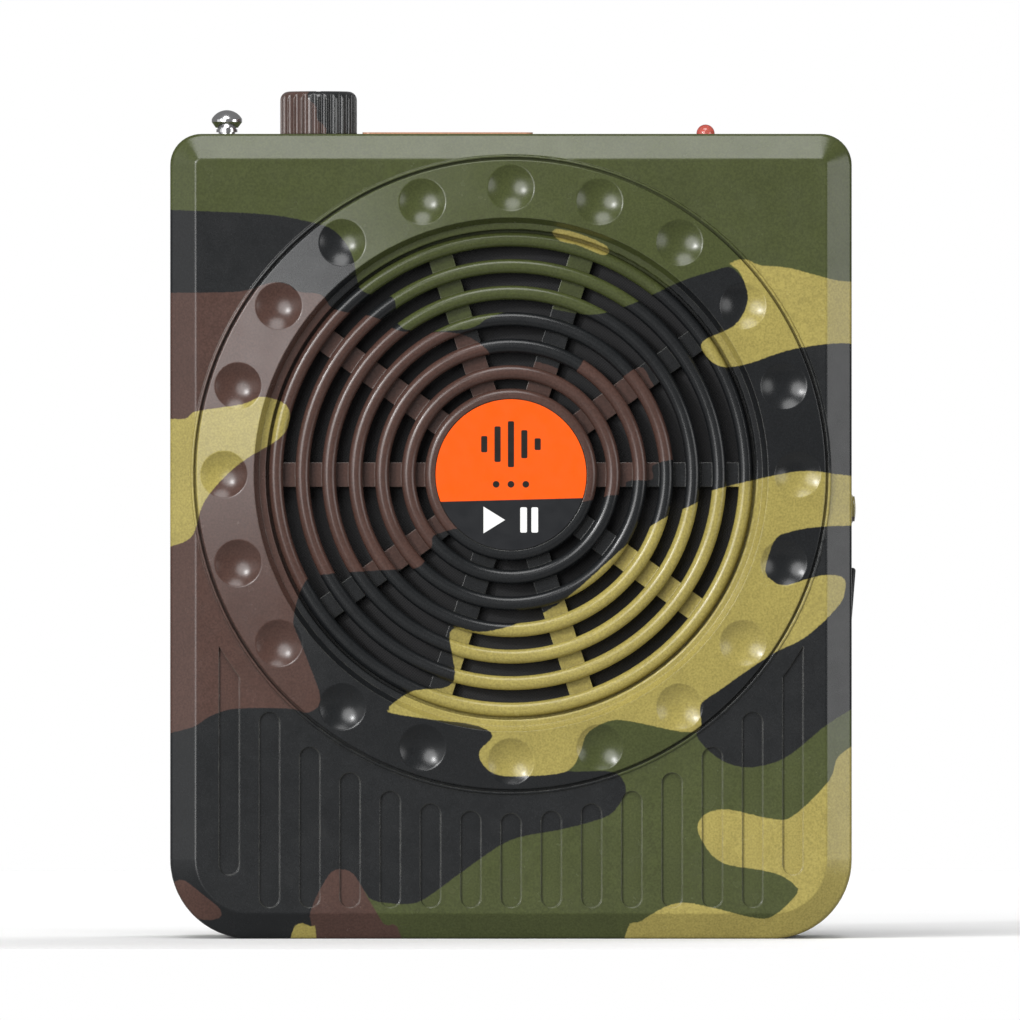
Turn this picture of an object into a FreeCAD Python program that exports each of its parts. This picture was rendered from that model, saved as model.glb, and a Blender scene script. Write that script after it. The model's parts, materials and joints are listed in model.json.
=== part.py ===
import FreeCAD, Part
import math
import os
import re
from FreeCAD import Placement, Rotation, Vector

# Electronic game caller, in millimetres. +Z is up, the front faces -Y, and the origin is the centre of the base.

DIMENSIONS = {
    # case
    "body_width": 91.8, "body_height": 108.4, "front_y": -20.0, "parting_y": 8.0, "rear_y": 20.0, "wall": 2.1,
    "corner_top": 4.2, "corner_bottom": 10.7, "bevel_width": 3.4, "bevel_depth": 2.0, "rear_round": 3.0,
    "lip_length": 1.5, "lip_wall": 1.0, "lip_gap": 0.1,
    # round pad and grille
    "disc_z": 62.5, "disc_radius": 43.1, "disc_raise": 1.7, "rim_raise": 0.3,
    "annulus_radius": 42.4, "annulus_raise": 0.6, "groove_outer": 42.75, "rim_round": 0.2, "dimple_round": 0.25,
    "dimple_circle": 38.6, "dimple_sphere": 5.46, "dimple_depth": 1.0,
    "dish_radius": 34.6, "land_outer": 33.9, "land_inner": 33.0, "land_drop": 1.5, "groove_depth": 1.8,
    "ring_first": 13.8, "ring_pitch": 3.57, "ring_width": 1.9, "ring_drop": 1.6, "ring_round": 0.85,
    "spoke_width": 3.3, "spoke_front": -18.3, "grille_back": -16.9,
    "cap_radius": 11.6, "label_radius": 10.15, "label_thick": 0.35, "seat_radius": 35.4,
    # shallow slots under the pad
    "slot_pitch": 5.42, "slot_width": 2.75, "slot_depth": 0.4, "slot_bottom": 4.2, "slot_outer_bottom": 8.6,
    "slot_circle": 45.6,
    # row of controls along the top
    "control_y": -2.6, "antenna_x": -38.4, "knob_x": -26.0, "knob_radius": 5.2, "knob_gap": 0.12,
    "knob_top": 5.9, "knob_round": 1.2, "flute_radius": 0.45, "shaft_top": 4.35, "led_x": 26.3, "charge_x": 13.0,
    "panel_left": -20.05, "panel_right": 2.96, "panel_front": -8.0, "panel_back": 7.2, "panel_thick": 0.9,
    "panel_proud": 0.33, "usb_x": -12.4, "card_x": -12.9, "jack_x": -1.6, "jack_bore": 1.78, "nose_radius": 2.25,
    "board_front": 0.2, "board_thick": 1.6,
    # controls on the right-hand side
    "side_y": -4.0, "button_z": 57.9, "button_radius": 2.1, "rocker_z": 46.5, "rocker_pivot_x": 42.0,
    "rocker_tilt": 4.5,
    # telescopic antenna, outside and inside radii
    "base_outer": 2.3, "base_inner": 1.9, "first_outer": 1.85, "first_inner": 1.45, "second_outer": 1.4,
    "second_inner": 1.0, "rod_radius": 0.95, "antenna_top": 108.3,
    # battery
    "cell_radius": 9.15, "cell_y": 7.5, "cell_z": 14.2, "cell_left": -31.0, "cell_length": 65.0,
    "tub_side": 35.8, "tub_bottom": 2.5, "tub_top": 25.6, "tub_front": -3.5, "tub_wall": 1.2,
    "door_half": 33.0, "door_top": 27.0, "door_gap": 0.12, "tongue": 1.2, "tongue_thick": 0.9,
    # belt clip
    "clip_y": 25.2, "clip_z": 86.0, "pin_radius": 1.25, "arm_half": 8.0, "arm_thick": 2.0, "arm_bottom": 40.0,
}

FLAT, ALONG_X, ALONG_Y = Rotation(), Rotation(Vector(0, 1, 0), 90), Rotation(Vector(1, 0, 0), -90)
TURNS = {"x": ALONG_X, "y": ALONG_Y, "z": FLAT}

doc = FreeCAD.newDocument("GameCaller")
sheet = doc.addObject("Spreadsheet::Sheet", "Dims")
for row, (alias, size) in enumerate(DIMENSIONS.items(), start=1):
    sheet.set("A%d" % row, alias)
    sheet.set("B%d" % row, str(size))
    sheet.setAlias("B%d" % row, alias)
doc.recompute()

nodes = []


# ---- helpers: every size and place is a formula over the sheet's names ----

def formula(text):
    """A formula with each of the sheet's names written the way the document refers to it."""
    return re.sub(r"[a-z][a-z_]+", lambda word: "Dims." + word[0] if word[0] in DIMENSIONS else word[0], str(text))


def size_of(alias):
    return float(sheet.get(alias))


def solid(kind, name, start, turn, **sizes):
    made = doc.addObject(kind, name)
    for prop, text in sizes.items():
        made.setExpression(prop, formula(text))
    made.Placement = Placement(Vector(), turn)
    for axis, text in zip("xyz", start):
        made.setExpression("Placement.Base." + axis, formula(text))
    return made


def box(name, x, y, z):
    """A box from three (low, high) pairs."""
    sizes = ["(%s) - (%s)" % (high, low) for low, high in (x, y, z)]
    return solid("Part::Box", name, (x[0], y[0], z[0]), FLAT, Length=sizes[0], Width=sizes[1], Height=sizes[2])


def rod(name, radius, start, length, axis="z"):
    return solid("Part::Cylinder", name, start, TURNS[axis], Radius=radius, Height=length)


def cone(name, radius, end_radius, start, length, axis="y"):
    return solid("Part::Cone", name, start, TURNS[axis], Radius1=radius, Radius2=end_radius, Height=length)


def ball(name, radius, centre):
    return solid("Part::Sphere", name, centre, FLAT, Radius=radius)


def fuse(name, *parts):
    made = doc.addObject("Part::MultiFuse", name)
    made.Shapes = list(parts)
    return made


def cut(name, base, *tools):
    made = doc.addObject("Part::Cut", name)
    made.Base = base
    made.Tool = tools[0] if len(tools) == 1 else fuse(name + "_tools", *tools)
    return made


def common(name, base, tool):
    made = doc.addObject("Part::Common", name)
    made.Base, made.Tool = base, tool
    return made


def group(name, *parts):
    """Identical pieces that share one node as separate solids."""
    made = doc.addObject("Part::Compound", name)
    made.Links = list(parts)
    return made


def tube(name, outer, inner, start, length, axis="z"):
    return cut(name, rod(name + "_outside", outer, start, length, axis),
               rod(name + "_bore", inner, start, length, axis))


def flare(name, outer, inner, start, length):
    """A conical wall along Y from (front, back) pairs of radii."""
    return cut(name, cone(name + "_outside", outer[0], outer[1], start, length),
               cone(name + "_inside", inner[0], inner[1], start, length))


def round_edges(name, base, radius, chosen):
    """A fillet on every edge for which chosen(edge) is true."""
    doc.recompute()
    made = doc.addObject("Part::Fillet", name)
    made.Base = base
    made.Edges = [(i, radius, radius) for i, edge in enumerate(base.Shape.Edges, start=1) if chosen(edge)]
    return made


def lies_at_y(edge, y):
    return abs(edge.BoundBox.YMin - y) < 1e-4 and abs(edge.BoundBox.YMax - y) < 1e-4


def lies_at_z(edge, z):
    return abs(edge.BoundBox.ZMin - z) < 1e-4 and abs(edge.BoundBox.ZMax - z) < 1e-4


def is_circle(edge, radius):
    return edge.Curve.TypeId == "Part::GeomCircle" and abs(edge.Curve.Radius - radius) < 1e-4


def slab(name, inset, y_low, y_high):
    """The case's outline pulled in by inset all round, as a block from y_low to y_high."""
    inset = "(%s)" % inset
    block = box(name + "_block", ("-body_width / 2 + " + inset, "body_width / 2 - " + inset), (y_low, y_high),
                (inset, "body_height - " + inset))
    doc.recompute()
    pulled_in = block.Placement.Base.z
    made = doc.addObject("Part::Fillet", name)
    made.Base = block
    made.Edges = [(i, radius, radius) for i, edge in enumerate(block.Shape.Edges, start=1)
                  if abs(edge.tangentAt(edge.FirstParameter).y) > 0.99
                  for radius in [size_of("corner_top" if edge.CenterOfMass.z > 50 else "corner_bottom") - pulled_in]]
    return made


def placed_shape(name, shape, placement=Placement()):
    """A shape made with Part's own functions, for a wire or a coil."""
    made = doc.addObject("Part::Feature", name)
    made.Shape = shape
    made.Placement = placement
    return made


def coil_spring(name, coil_radius, wire_radius, pitch, length, centre):
    """A helical spring along X from its left-hand end's centre."""
    helix = Part.makeHelix(pitch, length, coil_radius)
    section = Part.Wire(Part.makeCircle(wire_radius, Vector(coil_radius, 0, 0), Vector(0, 1, 0)))
    return placed_shape(name, Part.Wire(helix).makePipeShell([section], True, True), Placement(centre, ALONG_X))


def keep(made, label):
    made.Label = label
    nodes.append(made)
    return made


def around(count, radius, first=0.0):
    """Formulas for the x and z of points spread evenly round the pad's centre."""
    for i in range(count):
        angle = first + 360.0 * i / count
        yield i, "%s * cos(%g)" % (radius, angle), "disc_z + %s * sin(%g)" % (radius, angle)


# ---- fixings that several sub-parts share ----

CASE_SCREWS = [("-33.2", "102.4"), ("38.8", "102.4"), ("-38.8", "11.5"), ("38.8", "11.5")]
BOARD_SCREWS = [("-31.5", "92"), ("21", "97"), ("32", "92")]
SIDE_SCREWS = ["39.2", "64.6"]
TAB_CIRCLE, TAB_RADIUS, BOSS, PILOT, CLEARANCE_HOLE = "35.4", "3.4", "2.5", "1.0", "1.35"
FLANGE_FRONT, FLANGE_THICK = "-14.0", "1.0"


# ---- front shell: bevelled case half with pad, dimples, grille and slots ----

def envelope():
    """The closed outer form of the whole case."""
    outline = slab("outline", "0", "front_y", "rear_y")
    doc.recompute()
    front, rear = size_of("front_y"), size_of("rear_y")
    bevelled = doc.addObject("Part::Chamfer", "bevelled")
    bevelled.Base = outline
    bevelled.Edges = [(i, size_of("bevel_depth"), size_of("bevel_width"))
                      for i, edge in enumerate(outline.Shape.Edges, start=1) if lies_at_y(edge, front)]
    softened = round_edges("softened", bevelled, 0.7, lambda edge: lies_at_y(edge, front + size_of("bevel_depth")))
    ridged = round_edges("ridged", softened, 0.6, lambda edge: lies_at_y(edge, front))
    return round_edges("envelope", ridged, size_of("rear_round"), lambda edge: lies_at_y(edge, rear))


ANNULUS_RISE = "(disc_raise - annulus_raise)"
ANNULUS_WIDTH = "(annulus_radius - dish_radius)"
ANNULUS_LEAN = "atan(%s / %s)" % (ANNULUS_RISE, ANNULUS_WIDTH)


def pad(hollows):
    """A thin round step, and on it a wide ring that rises towards the grille."""
    step = rod("pad_step", "disc_radius", ("0", "front_y - rim_raise", "disc_z"), "rim_raise + 1", "y")
    foot = rod("pad_foot", "annulus_radius", ("0", "front_y - annulus_raise", "disc_z"), "annulus_raise + 1", "y")
    rise = cone("pad_rise", "dish_radius", "annulus_radius", ("0", "front_y - disc_raise", "disc_z"), ANNULUS_RISE)
    raised = cut("pad_sharp", fuse("pad_blank", step, foot, rise), *hollows)
    front = size_of("front_y")
    rims = [(size_of("disc_radius"), front - size_of("rim_raise")),
            (size_of("annulus_radius"), front - size_of("annulus_raise")),
            (size_of("land_inner"), front - size_of("disc_raise") + size_of("land_drop"))]
    softened = round_edges("pad_softened", raised, size_of("rim_round"),
                           lambda edge: any(is_circle(edge, radius) and lies_at_y(edge, y) for radius, y in rims))
    inner, outer = size_of("dish_radius") + 0.5, size_of("annulus_radius") - 0.5

    def on_a_dimple(edge):
        middle = edge.BoundBox.Center
        return inner < math.hypot(middle.x, middle.z - size_of("disc_z")) < outer and edge.BoundBox.YMin < front - 0.7

    return round_edges("pad", softened, size_of("dimple_round"), on_a_dimple)


def dimples():
    """Round hollows whose rims lie flat on the ring's slope."""
    reach = "(dimple_sphere - dimple_depth)"
    surface_y = "front_y - disc_raise + %s * (dimple_circle - dish_radius) / %s" % (ANNULUS_RISE, ANNULUS_WIDTH)
    centre_y = "%s - %s * cos(%s)" % (surface_y, reach, ANNULUS_LEAN)
    centre_circle = "(dimple_circle + %s * sin(%s))" % (reach, ANNULUS_LEAN)
    return [ball("dimple_%d" % i, "dimple_sphere", (x, centre_y, z)) for i, x, z in around(20, centre_circle, 90)]


def slot(index):
    """One shallow upright slot; the two outermost are shorter and follow the circle over them."""
    x = "slot_pitch * %d" % index
    front = "front_y - 0.1"
    outermost = abs(index) == 7
    bottom = "slot_outer_bottom" if outermost else "slot_bottom"
    reach = "disc_z - sqrt(slot_circle^2 - (%s)^2)" % x
    top = reach + " + 3" if outermost else reach + " - slot_width / 2"
    name = "slot_%d" % (index + 8)
    half = "slot_width / 2"
    pieces = [box(name + "_run", (x + " - " + half, x + " + " + half), (front, "front_y + slot_depth"),
                  (bottom + " + " + half, top)),
              rod(name + "_foot", half, (x, front, bottom + " + " + half), "slot_depth + 0.1", "y")]
    if not outermost:
        pieces.append(rod(name + "_head", half, (x, front, top), "slot_depth + 0.1", "y"))
        return fuse(name, *pieces)
    return cut(name, fuse(name + "_whole", *pieces),
               rod(name + "_limit", "slot_circle", ("0", "front_y - 1", "disc_z"), "5", "y"))


def dish():
    """The sunk circle that holds the grille: a sloped lip, a flat land, a groove, then an open hole."""
    lip = cone("dish_lip", "dish_radius", "land_outer", ("0", "front_y - disc_raise", "disc_z"), "land_drop")
    mouth = rod("dish_mouth", "dish_radius", ("0", "front_y - disc_raise - 1", "disc_z"), "1", "y")
    groove = rod("dish_groove", "land_inner", ("0", "front_y - disc_raise", "disc_z"), "land_drop + groove_depth", "y")
    hole = rod("dish_hole", "ring_first + ring_pitch * 5 - ring_width / 2", ("0", "front_y - 2", "disc_z"), "12", "y")
    return [lip, mouth, groove, hole]


def grille():
    """Six rounded rings and a centre cap on ten recessed spokes."""
    front = "front_y - disc_raise + ring_drop"
    depth = "grille_back - (%s)" % front
    pieces = [tube("ring_%d" % i, "ring_first + ring_pitch * %d + ring_width / 2" % i,
                   "ring_first + ring_pitch * %d - ring_width / 2" % i, ("0", front, "disc_z"), depth, "y")
              for i in range(6)]
    pieces.append(rod("cap", "cap_radius", ("0", front, "disc_z"), depth, "y"))
    reach = "ring_first + ring_pitch * 5 + 0.5"
    for i in range(5):
        spoke = solid("Part::Box", "spoke_%d" % i, ("0", "0", "0"), FLAT, Length="2 * (%s)" % reach,
                      Width="grille_back - spoke_front", Height="spoke_width")
        turn = Rotation(Vector(0, 1, 0), -36 * i)
        spoke.Placement = Placement(Vector(), turn)
        spoke.setExpression("Placement.Base.x", formula("-(%s) * cos(%d) + spoke_width / 2 * sin(%d)"
                                                        % (reach, 36 * i, 36 * i)))
        spoke.setExpression("Placement.Base.y", formula("spoke_front"))
        spoke.setExpression("Placement.Base.z", formula("disc_z - (%s) * sin(%d) - spoke_width / 2 * cos(%d)"
                                                        % (reach, 36 * i, 36 * i)))
        pieces.append(spoke)
    whole = fuse("grille_sharp", *pieces)
    front_y = size_of("front_y") - size_of("disc_raise") + size_of("ring_drop")
    rounded = round_edges("grille_rounded", whole, size_of("ring_round"), lambda edge: lies_at_y(edge, front_y))
    return cut("grille", rounded, rod("label_recess", "label_radius + 0.1", ("0", front, "disc_z"),
                                      "label_thick", "y"))


def bosses():
    """Screw posts that stand on the inside of the front wall."""
    floor = "front_y + wall - 0.5"
    posts = [rod("case_boss_%d" % i, BOSS, (x, floor, z), "parting_y - (%s)" % floor, "y")
             for i, (x, z) in enumerate(CASE_SCREWS)]
    posts += [rod("board_boss_%d" % i, BOSS, (x, floor, z), "board_front - (%s)" % floor, "y")
              for i, (x, z) in enumerate(BOARD_SCREWS)]
    posts += [rod("speaker_boss_%d" % i, BOSS, (x, floor, z), FLANGE_FRONT + " - (%s)" % floor, "y")
              for i, x, z in around(4, TAB_CIRCLE, 45)]
    posts += [rod("side_boss_%d" % i, "2.2", ("38.6", "side_y", z), "6", "x") for i, z in enumerate(SIDE_SCREWS)]
    posts.append(rod("antenna_boss", "2.2", ("antenna_x", floor, "20.5"), "control_y - 0.5 - (%s)" % floor, "y"))
    return posts


def pilots():
    """Screw holes in those posts."""
    holes = [rod("case_pilot_%d" % i, PILOT, (x, "-4", z), "parting_y + 5", "y")
             for i, (x, z) in enumerate(CASE_SCREWS)]
    holes += [rod("board_pilot_%d" % i, PILOT, (x, "board_front - 7", z), "8", "y")
              for i, (x, z) in enumerate(BOARD_SCREWS)]
    holes += [rod("speaker_pilot_%d" % i, PILOT, (x, "-19", z), "6", "y") for i, x, z in around(4, TAB_CIRCLE, 45)]
    holes += [rod("side_pilot_%d" % i, PILOT, ("38", "side_y", z), "5", "x") for i, z in enumerate(SIDE_SCREWS)]
    holes.append(rod("antenna_pilot", PILOT, ("antenna_x", "-10", "20.5"), "8", "y"))
    return holes


def top_openings():
    above = "body_height + 5"
    floor = "body_height - wall - 1"
    return [
        rod("antenna_hole", "base_outer + 0.1", ("antenna_x", "control_y", floor), "9"),
        rod("shaft_hole", "2.8", ("knob_x", "control_y", floor), "9"),
        rod("led_hole", "1.35", ("led_x", "control_y", floor), "9"),
        box("charge_hole", ("charge_x - 4.7", "charge_x + 4.7"), ("board_front - 3.5", "board_front"),
            (floor, above)),
        box("panel_recess", ("panel_left - 0.08", "panel_right + 0.08"), ("panel_front - 0.08", "panel_back + 0.08"),
            ("body_height + panel_proud - panel_thick", above)),
        box("port_window", ("panel_left + 0.6", "panel_right - 0.8"), ("panel_front + 1.4", "panel_back - 0.7"),
            (floor, above)),
    ]


def side_openings():
    return [rod("button_hole", "button_radius + 0.12", ("42", "side_y", "button_z"), "6", "x"),
            box("rocker_hole", ("42", "48"), ("side_y - 2.45", "side_y + 2.45"), ("rocker_z - 4.15",
                                                                                 "rocker_z + 4.15"))]


def front_shell(case):
    half = common("front_half", case, box("front_region", ("-60", "60"), ("-30", "parting_y"), ("-5", "120")))
    hollow = slab("front_hollow", "wall", "front_y + wall", "parting_y + 1")
    seat = tube("grille_seat", "seat_radius", "ring_first + ring_pitch * 5", ("0", "front_y + wall - 0.3", "disc_z"),
                "grille_back - (front_y + wall - 0.3)", "y")
    walls = cut("front_walls", half, hollow)
    rim_groove = tube("rim_groove", "groove_outer", "annulus_radius", ("0", "front_y - 1", "disc_z"), "1.4", "y")
    mouth = dish() + [rim_groove]
    blank = fuse("front_blank", cut("front_mouth", walls, *mouth), pad(mouth + dimples()), seat, *bosses())
    opened = cut("front_opened", blank, *([slot(i) for i in range(-7, 8)] + pilots()
                                          + top_openings() + side_openings()))
    keep(fuse("front_whole", opened, grille()), "front_shell")


# ---- rear shell: battery tub, door opening, screw wells and the lip that enters the front shell ----

def rear_shell(case):
    half = common("rear_half", case, box("rear_region", ("-60", "60"), ("parting_y", "40"), ("-5", "120")))
    walls = cut("rear_walls", half, slab("rear_hollow", "wall", "parting_y - 1", "rear_y - wall"))
    lip = cut("rear_lip", slab("lip_outside", "wall + lip_gap", "parting_y - lip_length", "parting_y + 1"),
              slab("lip_inside", "wall + lip_gap + lip_wall", "parting_y - lip_length - 1", "parting_y + 2"))
    tub = box("tub", ("-tub_side", "tub_side"), ("tub_front", "rear_y - 1"), ("tub_bottom", "tub_top"))
    wells = [rod("rear_boss_%d" % i, BOSS, (x, "parting_y", z), "rear_y - parting_y - 1", "y")
             for i, (x, z) in enumerate(CASE_SCREWS)]
    clip_posts = [rod("clip_boss_%d" % i, "2.4", (x, "rear_y - 7", z), "6", "y")
                  for i, (x, z) in enumerate(CLIP_SCREWS)]
    blank = fuse("rear_blank", walls, lip, tub, *(wells + clip_posts))
    cavity = box("tub_cavity", ("-tub_side + tub_wall", "tub_side - tub_wall"),
                 ("tub_front + tub_wall", "rear_y - wall"), ("tub_bottom + tub_wall", "tub_top - tub_wall"))
    mouth = box("door_mouth", ("-door_half - door_gap", "door_half + door_gap"), ("rear_y - wall", "rear_y + 1"),
                ("-1", "door_top + door_gap"))
    rebate = box("door_rebate", ("-door_half - tongue - door_gap", "door_half + tongue + door_gap"),
                 ("rear_y - wall", "rear_y - wall + tongue_thick + door_gap"), ("-1", "door_top + door_gap"))
    screw_ways = [rod("case_way_%d" % i, CLEARANCE_HOLE, (x, "parting_y - 1", z), "13", "y")
                  for i, (x, z) in enumerate(CASE_SCREWS)]
    screw_heads = [rod("case_well_%d" % i, "2.15", (x, "rear_y - 3", z), "4", "y")
                   for i, (x, z) in enumerate(CASE_SCREWS)]
    clip_pilots = [rod("clip_pilot_%d" % i, PILOT, (x, "rear_y - 6", z), "7", "y")
                   for i, (x, z) in enumerate(CLIP_SCREWS)]
    keep(cut("rear_whole", blank, cavity, mouth, rebate, *(screw_ways + screw_heads + clip_pilots)), "rear_shell")


def battery_door(case):
    """The door carries on the case's rounded outside, and its two side tongues run in the rear shell's rebates."""
    panel = common("door_panel", case, box("door_region", ("-door_half", "door_half"),
                                           ("rear_y - wall + door_gap", "rear_y + 1"), ("-1", "door_top")))
    tongues = [box("door_tongue_%d" % i, (low, high), ("rear_y - wall + door_gap", "rear_y - wall + tongue_thick"),
                   ("3", "door_top"))
               for i, (low, high) in enumerate([("-door_half - tongue", "-door_half + 1"),
                                                ("door_half - 1", "door_half + tongue")])]
    grips = [rod("door_grip_%d" % i, "0.6", ("-9", "rear_y + 0.1", "15 + 2 * %d" % i), "18", "x") for i in range(5)]
    keep(cut("door_whole", fuse("door_blank", panel, *tongues), *grips), "battery_door")


# ---- screws ----

def screw(name, at, reach, head=("2.1", "1.5"), shank=PILOT, axis="y", sense=1):
    """A pan-head screw: at is under its head, and the shank runs from there against the axis."""
    x, y, z = at
    if axis == "y":
        body = rod(name + "_shank", shank, (x, "%s - %s" % (y, reach), z), reach, "y")
        top = rod(name + "_head", head[0], (x, y, z), head[1], "y")
        recess = [box(name + "_cross_a", (x + " - 1.1", x + " + 1.1"), ("%s + %s - 0.7" % (y, head[1]),
                                                                       "%s + %s" % (y, head[1])),
                      (z + " - 0.25", z + " + 0.25")),
                  box(name + "_cross_b", (x + " - 0.25", x + " + 0.25"), ("%s + %s - 0.7" % (y, head[1]),
                                                                         "%s + %s" % (y, head[1])),
                      (z + " - 1.1", z + " + 1.1"))]
        return cut(name, fuse(name + "_blank", body, top), *recess)
    body = rod(name + "_shank", shank, (x, y, z), reach, "x")
    return fuse(name, body, rod(name + "_head", head[0], ("%s - %s" % (x, head[1]), y, z), head[1], "x"))


CLIP_SCREWS = [("-6", "82.5"), ("6", "82.5"), ("-6", "93.5"), ("6", "93.5")]


def screws():
    keep(group("case_screw_set", *[screw("case_screw_%d" % i, (x, "rear_y - 3", z), "17", ("2.0", "1.6"))
                                   for i, (x, z) in enumerate(CASE_SCREWS)]), "case_screws")
    side = [screw("side_screw_%d" % i, ("37.0", "side_y", z), "5", ("1.9", "1.2"), axis="x")
            for i, z in enumerate(SIDE_SCREWS)]
    keep(group("board_screw_set", *([screw("board_screw_%d" % i, (x, "board_front + board_thick", z), "8")
                                     for i, (x, z) in enumerate(BOARD_SCREWS)] + side)), "board_screws")
    behind_flange = "%s + %s" % (FLANGE_FRONT, FLANGE_THICK)
    keep(group("speaker_screw_set", *[screw("speaker_screw_%d" % i, (x, behind_flange, z), "5.5")
                                      for i, x, z in around(4, TAB_CIRCLE, 45)]), "speaker_screws")
    keep(group("clip_screw_set", *[screw("clip_screw_%d" % i, (x, "rear_y + 1.6", z), "6.5", ("1.9", "1.1"))
                                   for i, (x, z) in enumerate(CLIP_SCREWS)]), "clip_screws")
    keep(screw("lug_screw", ("antenna_x", "control_y + 0.5", "20.5"), "7"), "antenna_screw")


# ---- loudspeaker, built along +Y behind the grille ----

def loudspeaker():
    def ring(label, outer, inner, y, length):
        return keep(tube(label + "_ring", outer, inner, ("0", y, "disc_z"), length, "y"), label)

    keep(rod("label_blank", "label_radius", ("0", "front_y - disc_raise + ring_drop", "disc_z"), "label_thick", "y"),
         "label_disc")
    keep(rod("cloth", "32.6", ("0", "grille_back", "disc_z"), "0.4", "y"), "dust_cloth")
    ring("speaker_gasket", "32.6", "30.4", "grille_back + 0.4", "%s - (grille_back + 0.4)" % FLANGE_FRONT)

    flange = [rod("flange", "33", ("0", FLANGE_FRONT, "disc_z"), FLANGE_THICK, "y")]
    flange += [rod("flange_tab_%d" % i, TAB_RADIUS, (x, FLANGE_FRONT, z), FLANGE_THICK, "y")
               for i, x, z in around(4, TAB_CIRCLE, 45)]
    opening = rod("flange_opening", "28", ("0", "-15", "disc_z"), "3", "y")
    tab_holes = [rod("tab_hole_%d" % i, "1.15", (x, "-15", z), "3", "y") for i, x, z in around(4, TAB_CIRCLE, 45)]
    wall = flare("basket_wall", ("29", "18.6"), ("28", "17.6"), ("0", "-13", "disc_z"), "9")
    windows = [rod("basket_window_%d" % i, "5.2", ("0", "-8.4", "disc_z"), "40", "z") for i in range(4)]
    for i, window in enumerate(windows):
        window.Placement = Placement(Vector(0, -8.4, size_of("disc_z")), Rotation(Vector(0, 1, 0), 90 * i))
    ledge = tube("basket_ledge", "18.6", "15", ("0", "-4", "disc_z"), "0.8", "y")
    throat = tube("basket_throat", "16", "15", ("0", "-4", "disc_z"), "4.5", "y")
    back = tube("basket_back", "16", "8", ("0", "-0.3", "disc_z"), "0.8", "y")
    keep(fuse("basket", cut("basket_front", fuse("basket_flange", *flange), opening, *tab_holes),
              cut("basket_windowed", wall, *windows), ledge, throat, back), "speaker_basket")

    roll = cut("roll_hollow", solid("Part::Torus", "roll_outside", ("0", FLANGE_FRONT, "disc_z"), ALONG_Y,
                                    Radius1="26.2", Radius2="1.8"),
               solid("Part::Torus", "roll_inside", ("0", FLANGE_FRONT, "disc_z"), ALONG_Y,
                     Radius1="26.2", Radius2="1.4"))
    half_roll = common("half_roll", roll, rod("roll_region", "32", ("0", "-18", "disc_z"),
                                              FLANGE_FRONT + " + 18", "y"))
    flat = tube("roll_flat", "30", "27.8", ("0", FLANGE_FRONT + " - 0.4", "disc_z"), "0.4", "y")
    keep(fuse("surround", half_roll, flat), "speaker_surround")

    keep(flare("cone_wall", ("24.4", "7.6"), ("23.8", "7.05"), ("0", FLANGE_FRONT, "disc_z"), "8"), "speaker_cone")
    ring("voice_coil", "7.05", "6.6", "-8", "10.4")
    dome = cut("dome_shell", ball("dome_outside", "10", ("0", "-0.45", "disc_z")),
               ball("dome_inside", "9.6", ("0", "-0.45", "disc_z")))
    keep(common("dome", dome, rod("dome_region", "6.6", ("0", "-14", "disc_z"), "8", "y")), "dust_cap")
    ring("speaker_spider", "17.4", "7.1", "-4.4", "0.4")
    ring("speaker_top_plate", "14", "7.5", "0.5", "2.5")
    ring("speaker_magnet", "16", "9.5", "3", "5")
    keep(fuse("yoke", rod("yoke_plate", "14", ("0", "8", "disc_z"), "2", "y"),
              rod("yoke_pole", "6.2", ("0", "0.5", "disc_z"), "8", "y")), "speaker_yoke")


# ---- volume control ----

def round_knob(count, radius):
    """Formulas for the x and y of points spread evenly round the knob's axis."""
    for i in range(count):
        angle = 360.0 * i / count
        yield i, "knob_x + %s * cos(%g)" % (radius, angle), "control_y + %s * sin(%g)" % (radius, angle)


def volume_control():
    above = "body_height + knob_gap"
    blank = rod("knob_blank", "knob_radius", ("knob_x", "control_y", above), "knob_top - knob_gap")
    flutes = [rod("flute_%d" % i, "flute_radius", (x, y, above), "8")
              for i, x, y in round_knob(26, "(knob_radius + 0.12)")]
    top, edge_radius = size_of("body_height") + size_of("knob_top"), size_of("knob_radius")
    rounded = round_edges("knob_rounded", blank, size_of("knob_round"),
                          lambda edge: lies_at_z(edge, top) and is_circle(edge, edge_radius))
    fluted = cut("knob_fluted", rounded, *flutes)
    hollow = tube("knob_hollow", "4.3", "3", ("knob_x", "control_y", above), "3")
    socket = rod("knob_socket", "1.98", ("knob_x", "control_y", above), "shaft_top - knob_gap")
    pointer = box("knob_pointer", ("knob_x - 0.3", "knob_x + 0.3"), ("control_y - 4.4", "control_y - 1.2"),
                  ("body_height + knob_top - 0.2", "body_height + 6"))
    keep(cut("knob_whole", fluted, hollow, socket, pointer), "volume_knob")

    shaft = rod("shaft_round", "1.98", ("knob_x", "control_y", "99"), "body_height + shaft_top - 99")
    keep(fuse("shaft_whole", shaft, rod("shaft_foot", "2.5", ("knob_x", "control_y", "98.6"), "0.8")), "pot_shaft")
    body = box("pot_case", ("knob_x - 4.7", "knob_x + 4.7"), ("control_y - 4.7", "board_front"), ("96.8", "102"))
    bush = rod("pot_bush", "2.6", ("knob_x", "control_y", "102"), "body_height - 102.6")
    chamber = rod("pot_chamber", "2.56", ("knob_x", "control_y", "98.5"), "1")
    bore = rod("pot_bore", "2.04", ("knob_x", "control_y", "98.5"), "12")
    keep(cut("pot_whole", fuse("pot_blank", body, bush), chamber, bore), "pot_body")


# ---- telescopic antenna, closed, beside the loudspeaker ----

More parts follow.
